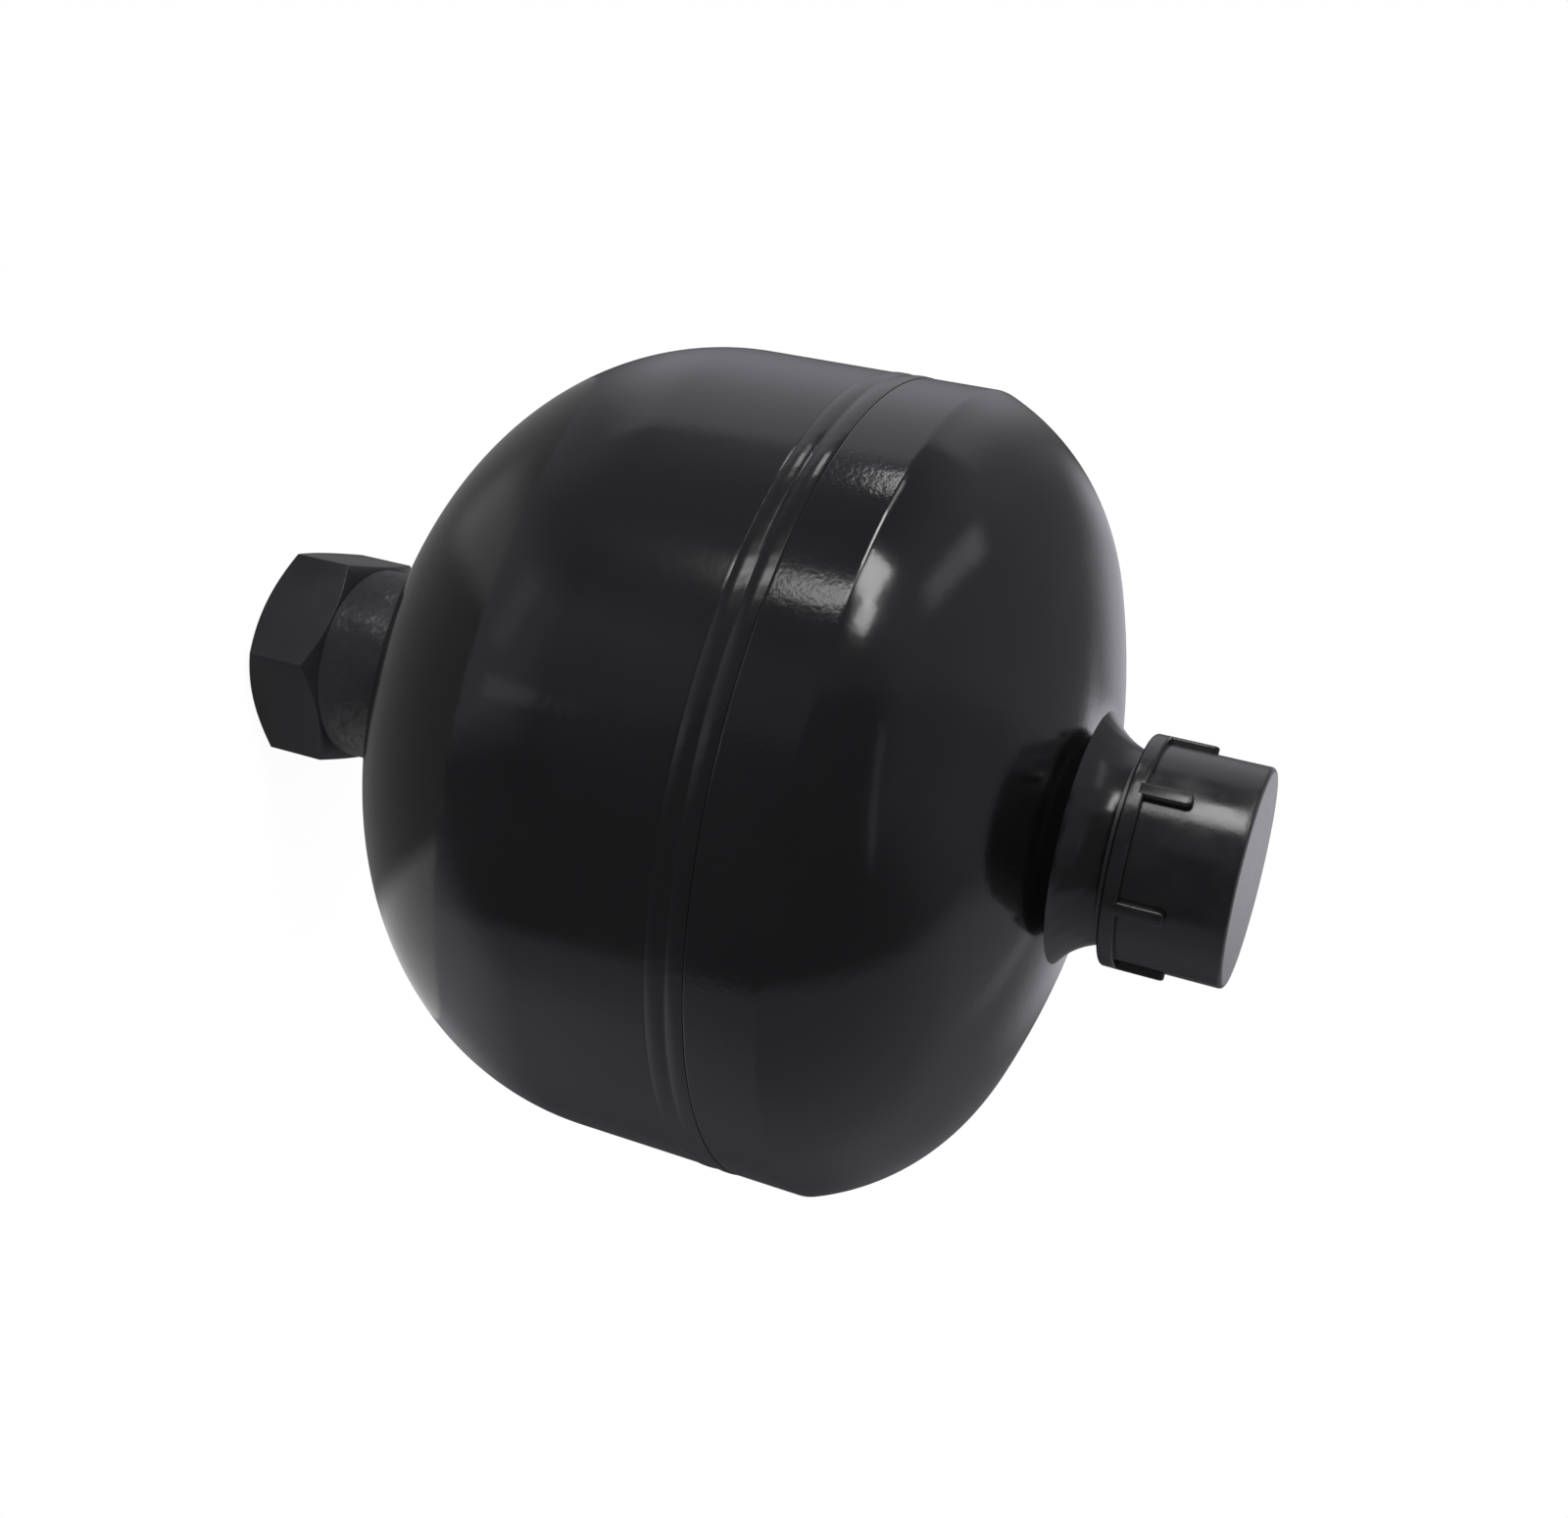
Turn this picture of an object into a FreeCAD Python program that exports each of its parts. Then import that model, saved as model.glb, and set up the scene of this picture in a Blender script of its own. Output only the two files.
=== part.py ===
import FreeCAD, Part
import math
import os
import types

import Sketcher

# Welded diaphragm accumulator, one litre class, 210 bar.
#
# Two drawn steel shells are welded at their rims. A rubber diaphragm is clamped inside the
# joint and parts the oil in the lower shell from the nitrogen in the upper one. A steel
# button in the diaphragm's middle closes the oil port when the vessel is empty.
#
# The frame stands the accumulator on its oil port: the origin is the middle of the port's
# end face, +Z runs along the axis to the gas side. All lengths are in millimetres.

# Driving sizes: name, value.
SIZES = (
    # Hexagon and neck of the oil port
    ("hexagon_across_flats", 36.0),
    ("hexagon_length", 14.3),
    ("hexagon_chamfer", 1.6),
    ("hexagon_face_step", 0.3),
    ("hexagon_chamfer_angle", 30.0),
    ("neck_step", 0.5),
    ("neck_length", 17.1),
    ("port_shoulder", 2.3),
    ("port_thread_minor_diameter", 18.63),
    ("port_thread_length", 14.3),
    ("port_mouth_chamfer", 1.7),
    ("port_drill_angle", 118.0),
    ("port_flow_diameter", 11.0),
    ("port_seat_depth", 2.0),
    # Shells
    ("vessel_diameter", 136.0),
    ("shell_wall", 6.0),
    ("fluid_knuckle", 46.8),
    ("fluid_crown_flattening", 16.9),
    ("fluid_skirt_length", 22.2),
    ("gas_band_length", 11.6),
    ("gas_band_cut", 2.9),
    ("gas_knuckle", 38.0),
    ("gas_crown_flattening", 60.6),
    ("recess_depth", 1.5),
    ("recess_below_seam", 11.5),
    ("recess_above_seam", 7.5),
    # Welds
    ("girth_weld_width", 6.0),
    ("girth_weld_groove_width", 0.8),
    ("girth_weld_groove_depth", 0.4),
    ("girth_weld_bead_radius", 3.0),
    ("weld_root_nose", 1.5),
    ("weld_roundness", 1.0),
    ("boss_weld_hollow", 12.0),
    ("port_weld_leg", 3.5),
    ("boss_weld_leg", 5.0),
    ("boss_weld_height", 6.0),
    # Gas boss, its screw and seal
    ("boss_thread_diameter", 28.0),
    ("boss_thread_length", 14.5),
    ("boss_thread_chamfer", 1.5),
    ("boss_shoulder", 2.1),
    ("boss_shoulder_length", 7.0),
    ("boss_spigot_step", 2.6),
    ("boss_counterbore_depth", 8.0),
    ("boss_counterbore_gap", 0.75),
    ("screw_thread_diameter", 8.0),
    ("screw_thread_length", 14.0),
    ("screw_undercut", 0.3),
    ("screw_head_diameter", 13.0),
    ("screw_head_height", 5.0),
    ("screw_socket_width", 6.0),
    ("screw_socket_depth", 3.5),
    ("seal_section", 2.0),
    # Protective cap
    ("cap_length", 19.5),
    ("cap_wall", 3.9),
    ("cap_end_wall", 2.5),
    ("cap_edge_radius", 0.8),
    ("cap_lip_height", 1.2),
    ("cap_lip_length", 2.7),
    ("cap_lip_edge", 0.5),
    ("cap_rib_count", 6),
    ("cap_rib_width", 2.6),
    ("cap_rib_length", 7.4),
    ("cap_rib_edge", 1.0),
    ("cap_turn", 50.1),
    # Diaphragm, its ring and its button
    ("membrane_thickness", 2.2),
    ("bead_height", 6.0),
    ("ring_skirt_wall", 1.5),
    ("ring_skirt_overhang", 0.5),
    ("ring_edge_radius", 0.7),
    ("button_diameter", 18.6),
    ("button_thickness", 3.0),
    ("button_stem_diameter", 7.0),
    ("button_stem_length", 4.0),
    ("button_anchor_diameter", 13.0),
    ("button_anchor_thickness", 2.0),
    ("diaphragm_boss_cover", 3.0),
    ("diaphragm_boss_top_diameter", 20.0),
    ("diaphragm_boss_foot", 3.5),
    # Clearances
    ("membrane_gap", 0.3),
    ("seat_gap", 0.6),
    ("fit_gap", 0.1),
    ("thread_gap", 0.05),
)

FULL_TURN = 360.0
UP = 1.0
DOWN = -1.0
LEFT = "left"
RIGHT = "right"


class Measure:
    """A value that is a number now and an expression on the spreadsheet afterwards."""

    def __init__(self, value, text):
        self.value = value
        self.text = text

    def __add__(self, other):
        other = as_measure(other)
        return Measure(self.value + other.value, "(%s + %s)" % (self.text, other.text))

    def __sub__(self, other):
        other = as_measure(other)
        return Measure(self.value - other.value, "(%s - %s)" % (self.text, other.text))

    def __mul__(self, other):
        other = as_measure(other)
        return Measure(self.value * other.value, "%s * %s" % (self.text, other.text))

    def __truediv__(self, other):
        other = as_measure(other)
        return Measure(self.value / other.value, "%s / (%s)" % (self.text, other.text))

    def __neg__(self):
        return Measure(-self.value, "(0 - %s)" % self.text)


def as_measure(value):
    if isinstance(value, Measure):
        return value
    return Measure(float(value), "%.9g" % value)


def root(measure):
    return Measure(math.sqrt(measure.value), "sqrt(%s)" % measure.text)


def greater(one, other):
    return Measure(max(one.value, other.value), "max(%s; %s)" % (one.text, other.text))


def tangent(measure):
    """Tangent of an angle in degrees."""
    return Measure(math.tan(math.radians(measure.value)), "tan(%s * 1 deg)" % measure.text)


class Dome:
    """A vessel end of two arcs: a knuckle that runs tangent into a crown.

    Every height is taken on the outer skin or `inset` inside it, because the wall is even.
    """

    def __init__(self, equator, knuckle, crown, way):
        self.equator = equator
        self.knuckle = knuckle
        self.crown = crown
        self.way = way
        self.offset = equator - knuckle
        self.reach = crown - knuckle
        self.drop = root(self.reach * self.reach - self.offset * self.offset)
        self.base = None
        self.centre = None

    def set_base(self, height):
        """Put the plane where the knuckle starts at this height."""
        self.base = height
        self.centre = height - self.drop * self.way

    def set_crown_point(self, radius, height):
        """Put the crown so that it passes this point."""
        rise = root(self.crown * self.crown - radius * radius)
        self.set_base(height - rise * self.way + self.drop * self.way)

    def set_knuckle_point(self, radius, height):
        """Put the knuckle so that it passes this point."""
        self.set_base(height - self.knuckle_rise(radius, as_measure(0)) * self.way)

    def knuckle_rise(self, radius, inset):
        arc = self.knuckle - inset
        across = radius - self.offset
        return root(arc * arc - across * across)

    def knuckle_height(self, radius, inset):
        return self.base + self.knuckle_rise(radius, inset) * self.way

    def crown_height(self, radius, inset):
        arc = self.crown - inset
        return self.centre + root(arc * arc - radius * radius) * self.way

    def join(self, inset):
        """The point where knuckle and crown meet."""
        arc = self.crown - inset
        radius = arc * self.offset / self.reach
        height = self.centre + arc * self.drop / self.reach * self.way
        return radius, height


def write_sheet(document):
    """Put the driving sizes into the spreadsheet and return them as measures."""
    sheet = document.addObject("Spreadsheet::Sheet", "Sizes")
    measures = {}
    for row, (name, value) in enumerate(SIZES, start=1):
        sheet.set("A%d" % row, name)
        sheet.set("B%d" % row, str(value))
        sheet.setAlias("B%d" % row, name)
        measures[name] = Measure(float(value), "Sizes.%s" % name)
    document.recompute()
    return types.SimpleNamespace(**measures)


def origin_feature(body, role):
    for feature in body.Origin.OriginFeatures:
        if feature.Role == role:
            return feature
    raise RuntimeError("no %s in %s" % (role, body.Label))


def new_body(document, name):
    body = document.addObject("PartDesign::Body", name)
    body.Label = name
    body.Placement = FreeCAD.Placement()
    return body


def arc_between(start, end, radius, side):
    """The shorter arc from start to end, with its centre on the given side of the way."""
    chord = end - start
    middle = (start + end) * 0.5
    height = math.sqrt(radius * radius - chord.Length * chord.Length / 4)
    to_left = FreeCAD.Vector(-chord.y, chord.x, 0).normalize()
    centre = middle + to_left * (height if side == LEFT else -height)
    circle = Part.Circle(centre, FreeCAD.Vector(0, 0, 1), radius)
    start_angle = math.atan2(start.y - centre.y, start.x - centre.x)
    end_angle = math.atan2(end.y - centre.y, end.x - centre.x)
    if side == LEFT:
        return Part.ArcOfCircle(circle, start_angle, end_angle)
    return Part.ArcOfCircle(circle, end_angle, start_angle)


def hold_coordinate(sketch, kind, axis, edge, point, measure, name):
    """Tie one coordinate of a point to the sheet, or to the axis where it is nought."""
    if measure.value == 0:
        sketch.addConstraint(Sketcher.Constraint("PointOnObject", edge, point, axis))
        return
    constraint = Sketcher.Constraint(kind, -1, 1, edge, point, measure.value)
    index = sketch.addConstraint(constraint)
    sketch.renameConstraint(index, name)
    sketch.setExpression("Constraints.%s" % name, measure.text)


def draw_outlines(body, name, plane, outlines):
    """A sketch of closed outlines, each a list of corners.

    A corner is (across, up) where a straight edge leaves it, and (across, up, radius, side)
    where an arc does.
    """
    sketch = body.newObject("Sketcher::SketchObject", name)
    sketch.AttachmentSupport = [(origin_feature(body, plane), "")]
    sketch.MapMode = "FlatFace"
    for outline in outlines:
        draw_outline(sketch, outline)
    return sketch


def draw_outline(sketch, outline):
    horizontal_axis = -1
    vertical_axis = -2
    outline = [tuple(as_measure(item) if item not in (LEFT, RIGHT) else item for item in corner)
               for corner in outline]
    points = [FreeCAD.Vector(corner[0].value, corner[1].value, 0) for corner in outline]
    edges = []
    for index, corner in enumerate(outline):
        start = points[index]
        end = points[(index + 1) % len(points)]
        if len(corner) == 2:
            edge = sketch.addGeometry(Part.LineSegment(start, end), False)
            edges.append((edge, 1, 2))
            continue
        radius, side = corner[2:]
        edge = sketch.addGeometry(arc_between(start, end, radius.value, side), False)
        edges.append((edge, 1, 2) if side == LEFT else (edge, 2, 1))
    for index, (edge, first, last) in enumerate(edges):
        following, following_first, _ = edges[(index + 1) % len(edges)]
        sketch.addConstraint(
            Sketcher.Constraint("Coincident", edge, last, following, following_first))
    for index, corner in enumerate(outline):
        edge, first, _ = edges[index]
        hold_coordinate(sketch, "DistanceX", vertical_axis, edge, first, corner[0],
                        "across_%d" % edge)
        hold_coordinate(sketch, "DistanceY", horizontal_axis, edge, first, corner[1],
                        "up_%d" % edge)
        if len(corner) > 2:
            constraint = Sketcher.Constraint("Radius", edge, corner[2].value)
            number = sketch.addConstraint(constraint)
            sketch.renameConstraint(number, "radius_%d" % edge)
            sketch.setExpression("Constraints.radius_%d" % edge, corner[2].text)


def turn(body, kind, name, outlines):
    """Revolve sections, given as (radius, height) corners, around the vessel's axis."""
    sketch = draw_outlines(body, name + "_section", "XZ_Plane", outlines)
    feature = body.newObject("PartDesign::" + kind, name)
    feature.Profile = sketch
    feature.ReferenceAxis = (sketch, ["V_Axis"])
    feature.Angle = FULL_TURN
    body.Tip = feature
    return feature


def hexagon(across_flats):
    """Corners of a hexagon with two of them on the Y axis."""
    half = across_flats / 2
    corner = across_flats / math.sqrt(3)
    return [(0, corner), (half, corner / 2), (half, -corner / 2),
            (0, -corner), (-half, -corner / 2), (-half, corner / 2)]


def make_fluid_port(document, s, place):
    body = new_body(document, "fluid_port")
    sketch = draw_outlines(body, "hexagon_outline", "XY_Plane", [hexagon(s.hexagon_across_flats)])
    bar = body.newObject("PartDesign::Pad", "hexagon")
    bar.Profile = sketch
    bar.Length = s.hexagon_length.value
    bar.setExpression("Length", s.hexagon_length.text)
    body.Tip = bar

    turn(body, "Revolution", "neck", [[
        (0, s.hexagon_length),
        (place.neck_radius, s.hexagon_length),
        (place.neck_radius, place.port_land),
        (place.port_spigot_radius, place.port_land),
        (place.port_spigot_radius, place.port_top),
        (0, place.port_top),
    ]])

    # Both ends of the hexagon are turned to a cone, which leaves the round edge on each flat.
    corner_radius = s.hexagon_across_flats / math.sqrt(3) + s.hexagon_chamfer
    face_radius = s.hexagon_across_flats / 2 - s.hexagon_face_step
    drop = (corner_radius - face_radius) * tangent(s.hexagon_chamfer_angle)
    turn(body, "Groove", "hexagon_chamfers", [
        [(face_radius, 0), (corner_radius, 0), (corner_radius, drop)],
        [(face_radius, s.hexagon_length), (corner_radius, s.hexagon_length - drop),
         (corner_radius, s.hexagon_length)],
    ])

    thread_radius = s.port_thread_minor_diameter / 2
    flow_radius = s.port_flow_diameter / 2
    thread_end = s.port_mouth_chamfer + s.port_thread_length
    drill_depth = (thread_radius - flow_radius) / tangent(s.port_drill_angle / 2)
    turn(body, "Groove", "port_bore", [[
        (0, 0),
        (thread_radius + s.port_mouth_chamfer, 0),
        (thread_radius, s.port_mouth_chamfer),
        (thread_radius, thread_end),
        (flow_radius, thread_end + drill_depth),
        (flow_radius, place.seat),
        (place.seat_radius, place.seat),
        (place.seat_radius, place.port_top),
        (0, place.port_top),
    ]])
    return body


def make_fluid_shell(document, s, place):
    """The drawn lower shell: crown, knuckle and skirt, bevelled for the girth weld."""
    body = new_body(document, "fluid_shell")
    dome = place.fluid_dome
    outer_join = dome.join(as_measure(0))
    inner_join = dome.join(s.shell_wall)
    hole = place.port_hole_radius
    turn(body, "Revolution", "shell", [[
        (hole, place.port_land),
        (place.neck_radius, place.port_land, dome.crown, LEFT),
        outer_join + (dome.knuckle, LEFT),
        (place.radius, dome.base),
        (place.radius, place.weld_bottom),
        (place.root_radius, place.seam),
        (place.recess_radius, place.seam),
        (place.recess_radius, place.recess_bottom),
        (place.bore_radius, place.recess_bottom),
        (place.bore_radius, dome.base, dome.knuckle - s.shell_wall, RIGHT),
        inner_join + (dome.crown - s.shell_wall, RIGHT),
        (hole, dome.crown_height(hole, s.shell_wall)),
    ]])
    return body


def make_gas_shell(document, s, place):
    """The drawn upper shell, turned down to a band beside the girth weld."""
    body = new_body(document, "gas_shell")
    dome = place.gas_dome
    outer_join = dome.join(as_measure(0))
    inner_join = dome.join(s.shell_wall)
    hole = place.boss_hole_radius
    turn(body, "Revolution", "shell", [[
        (place.recess_radius, place.seam),
        (place.root_radius, place.seam),
        (place.radius, place.weld_top),
        (place.radius, place.band_edge, dome.knuckle, LEFT),
        outer_join + (dome.crown, LEFT),
        (place.boss_radius, place.boss_land),
        (hole, place.boss_land),
        (hole, dome.crown_height(hole, s.shell_wall), dome.crown - s.shell_wall, RIGHT),
        inner_join + (dome.knuckle - s.shell_wall, RIGHT),
        (place.bore_radius, dome.knuckle_height(place.bore_radius, s.shell_wall)),
        (place.bore_radius, place.recess_top),
        (place.recess_radius, place.recess_top),
    ]])
    return body


def make_girth_weld(document, s, place):
    """The weld between the shells: a vee with two beads on its face and a line between."""
    body = new_body(document, "girth_weld")
    half_groove = s.girth_weld_groove_width / 2
    turn(body, "Revolution", "weld", [[
        (place.root_radius, place.seam),
        (place.radius, place.weld_bottom, s.girth_weld_bead_radius, LEFT),
        (place.radius, place.seam - half_groove),
        (place.radius - s.girth_weld_groove_depth, place.seam),
        (place.radius, place.seam + half_groove, s.girth_weld_bead_radius, LEFT),
        (place.radius, place.weld_top),
    ]])
    return body


def make_fluid_port_weld(document, s, place):
    body = new_body(document, "fluid_port_weld")
    dome = place.fluid_dome
    toe = place.neck_radius + s.port_weld_leg
    bulge = s.port_weld_leg * 2 * s.weld_roundness
    turn(body, "Revolution", "weld", [[
        (place.neck_radius, place.port_land, dome.crown, LEFT),
        (toe, dome.crown_height(toe, as_measure(0)), bulge, RIGHT),
        (place.neck_radius, place.port_land - s.port_weld_leg),
    ]])
    return body


def make_gas_boss_weld(document, s, place):
    body = new_body(document, "gas_boss_weld")
    dome = place.gas_dome
    toe = place.boss_radius + s.boss_weld_leg
    turn(body, "Revolution", "weld", [[
        (place.boss_radius, place.boss_land, dome.crown, RIGHT),
        (toe, dome.crown_height(toe, as_measure(0)), s.boss_weld_hollow, RIGHT),
        (place.boss_radius, place.boss_land + s.boss_weld_height),
    ]])
    return body


def make_gas_boss(document, s, place):
    """The turned gas connection: spigot, shoulder and the thread that carries the cap."""
    body = new_body(document, "gas_boss")
    thread_radius = s.boss_thread_diameter / 2
    screw_hole = s.screw_thread_diameter / 2 + s.thread_gap
    counterbore = s.screw_head_diameter / 2 + s.boss_counterbore_gap
    turn(body, "Revolution", "boss", [[
        (screw_hole, place.boss_bottom),
        (place.boss_spigot_radius, place.boss_bottom),
        (place.boss_spigot_radius, place.boss_land),
        (place.boss_radius, place.boss_land),
        (place.boss_radius, place.cap_seat),
        (thread_radius, place.cap_seat),
        (thread_radius, place.boss_top - s.boss_thread_chamfer),
        (thread_radius - s.boss_thread_chamfer, place.boss_top),
        (counterbore, place.boss_top),
        (counterbore, place.screw_floor),
        (screw_hole, place.screw_floor),
    ]])
    return body


def make_charging_screw(document, s, place):
    body = new_body(document, "charging_screw")
    thread_radius = s.screw_thread_diameter / 2
    undercut = thread_radius - s.screw_undercut
    head_bottom = place.screw_floor + s.seal_section
    head_top = head_bottom + s.screw_head_height
    turn(body, "Revolution", "screw", [[
        (0, place.screw_floor - s.screw_thread_length),
        (thread_radius, place.screw_floor - s.screw_thread_length),
        (thread_radius, place.screw_floor),
        (undercut, place.screw_floor),
        (undercut, head_bottom),
        (s.screw_head_diameter / 2, head_bottom),
        (s.screw_head_diameter / 2, head_top),
        (0, head_top),
    ]])
    sketch = draw_outlines(body, "socket_outline", "XY_Plane", [hexagon(s.screw_socket_width)])
    top = FreeCAD.Vector(0, 0, head_top.value)
    sketch.AttachmentOffset = FreeCAD.Placement(top, FreeCAD.Rotation())
    sketch.setExpression("AttachmentOffset.Base.z", head_top.text)
    socket = body.newObject("PartDesign::Pocket", "socket")
    socket.Profile = sketch
    socket.Length = s.screw_socket_depth.value
    socket.setExpression("Length", s.screw_socket_depth.text)
    body.Tip = socket
    return body


def make_charging_screw_seal(document, s, place):
    """The O-ring squeezed between the screw's head and the floor of its counterbore."""
    ring = document.addObject("Part::Torus", "charging_screw_seal")
    ring.Label = "charging_screw_seal"
    section = s.seal_section / 2
    inside = s.screw_thread_diameter / 2 - s.screw_undercut + s.thread_gap
    centre = inside + section
    height = place.screw_floor + section
    ring.setExpression("Radius1", centre.text)
    ring.setExpression("Radius2", section.text)
    ring.Placement = FreeCAD.Placement(FreeCAD.Vector(0, 0, height.value), FreeCAD.Rotation())
    ring.setExpression("Placement.Base.z", height.text)
    return ring


def make_protective_cap(document, s, place):
    """The moulded screw cap: a cup with a lip and six grip ribs, modelled on its own rim."""
    body = new_body(document, "protective_cap")
    bore = s.boss_thread_diameter / 2 + s.fit_gap
    wall = bore + s.cap_wall
    lip = wall + s.cap_lip_height
    edge = s.cap_edge_radius
    lip_edge = s.cap_lip_edge
    turn(body, "Revolution", "cup", [[
        (bore, 0),
        (lip - lip_edge, 0, lip_edge, LEFT),
        (lip, lip_edge),
        (lip, s.cap_lip_length - lip_edge, lip_edge, LEFT),
        (lip - lip_edge, s.cap_lip_length),
        (wall, s.cap_lip_length),
        (wall, s.cap_length - edge, edge, LEFT),
        (wall - edge, s.cap_length),
        (0, s.cap_length),
        (0, s.cap_length - s.cap_end_wall),
        (bore, s.cap_length - s.cap_end_wall),
    ]])
    rib_root = bore + s.cap_wall / 2
    rib_end = s.cap_lip_length + s.cap_rib_length
    sketch = draw_outlines(body, "rib_outline", "XZ_Plane", [[
        (rib_root, s.cap_lip_length / 2),
        (lip, s.cap_lip_length / 2),
        (lip, rib_end - s.cap_rib_edge, s.cap_rib_edge, LEFT),
        (lip - s.cap_rib_edge, rib_end),
        (rib_root, rib_end),
    ]])
    rib = body.newObject("PartDesign::Pad", "rib")
    rib.Profile = sketch
    rib.SideType = "Symmetric"
    rib.Length = s.cap_rib_width.value
    rib.setExpression("Length", s.cap_rib_width.text)
    body.Tip = rib
    ribs = body.newObject("PartDesign::PolarPattern", "ribs")
    ribs.Originals = [rib]
    ribs.Axis = (origin_feature(body, "Z_Axis"), [""])
    ribs.Angle = FULL_TURN
    ribs.Occurrences = int(s.cap_rib_count.value)
    ribs.setExpression("Occurrences", s.cap_rib_count.text)
    body.Tip = ribs

    turned = FreeCAD.Rotation(FreeCAD.Vector(0, 0, 1), s.cap_turn.value)
    body.Placement = FreeCAD.Placement(FreeCAD.Vector(0, 0, place.cap_rim.value), turned)
    body.setExpression("Placement.Base.z", place.cap_rim.text)
    body.setExpression("Placement.Rotation.Angle", s.cap_turn.text)
    return body


def make_diaphragm(document, s, place):
    """The moulded diaphragm as it lies when charged: down on the lower shell, bead clamped."""
    body = new_body(document, "diaphragm")
    dome = place.fluid_dome
    outside = s.shell_wall + s.membrane_gap
    inside = outside + s.membrane_thickness
    lower_join = dome.join(outside)
    upper_join = dome.join(inside)
    skin = place.bore_radius - s.membrane_gap
    gap = s.fit_gap
    plate = s.button_diameter / 2 + gap
    stem = s.button_stem_diameter / 2 + gap
    anchor = s.button_anchor_diameter / 2 + gap
    boss_top = place.anchor_top + s.diaphragm_boss_cover
    boss_foot = s.diaphragm_boss_top_diameter / 2 + s.diaphragm_boss_foot
    underside = place.port_top + s.membrane_gap
    lower_crown = dome.crown - outside
    rise = dome.centre - underside
    flat_edge = root(lower_crown * lower_crown - rise * rise)
    turn(body, "Revolution", "membrane", [[
        (place.recess_radius - gap, place.recess_bottom),
        (place.recess_radius - gap, place.bead_top),
        (place.bead_inside, place.bead_top),
        (place.bead_inside, dome.base, dome.knuckle - inside, RIGHT),
        upper_join + (dome.crown - inside, RIGHT),
        (boss_foot, dome.crown_height(boss_foot, inside)),
        (s.diaphragm_boss_top_diameter / 2, boss_top),
        (0, boss_top),
        (0, place.anchor_top + gap),
        (anchor, place.anchor_top + gap),
        (anchor, place.anchor_bottom - gap),
        (stem, place.anchor_bottom - gap),
        (stem, place.button_top + gap),
        (plate, place.button_top + gap),
        (plate, underside),
        (flat_edge, underside, lower_crown, LEFT),
        lower_join + (dome.knuckle - outside, LEFT),
        (skin, dome.base),
        (skin, place.recess_bottom),
    ]])
    return body


def make_closing_button(document, s, place):
    """The plate that closes the oil port, with the stem and flange that hold it in rubber."""
    body = new_body(document, "closing_button")
    turn(body, "Revolution", "button", [[
        (0, place.button_bottom),
        (s.button_diameter / 2, place.button_bottom),
        (s.button_diameter / 2, place.button_top),
        (s.button_stem_diameter / 2, place.button_top),
        (s.button_stem_diameter / 2, place.anchor_bottom),
        (s.button_anchor_diameter / 2, place.anchor_bottom),
        (s.button_anchor_diameter / 2, place.anchor_top),
        (0, place.anchor_top),
    ]])
    return body


def make_retaining_ring(document, s, place):
    """The ring that holds the bead down; the upper shell's shoulder holds the ring."""
    body = new_body(document, "retaining_ring")
    outside = place.recess_radius - s.fit_gap
    skirt_outside = place.bead_inside - s.fit_gap
    skirt_inside = skirt_outside - s.ring_skirt_wall
    skirt_bottom = place.recess_bottom - s.ring_skirt_overhang
    edge = s.ring_edge_radius
    turn(body, "Revolution", "ring", [[
        (outside, place.bead_top),
        (outside, place.recess_top),
        (skirt_inside, place.recess_top),
        (skirt_inside, skirt_bottom + edge, edge, LEFT),
        (skirt_inside + edge, skirt_bottom),
        (skirt_outside, skirt_bottom),
        (skirt_outside, place.bead_top),
    ]])
    return body


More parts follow.
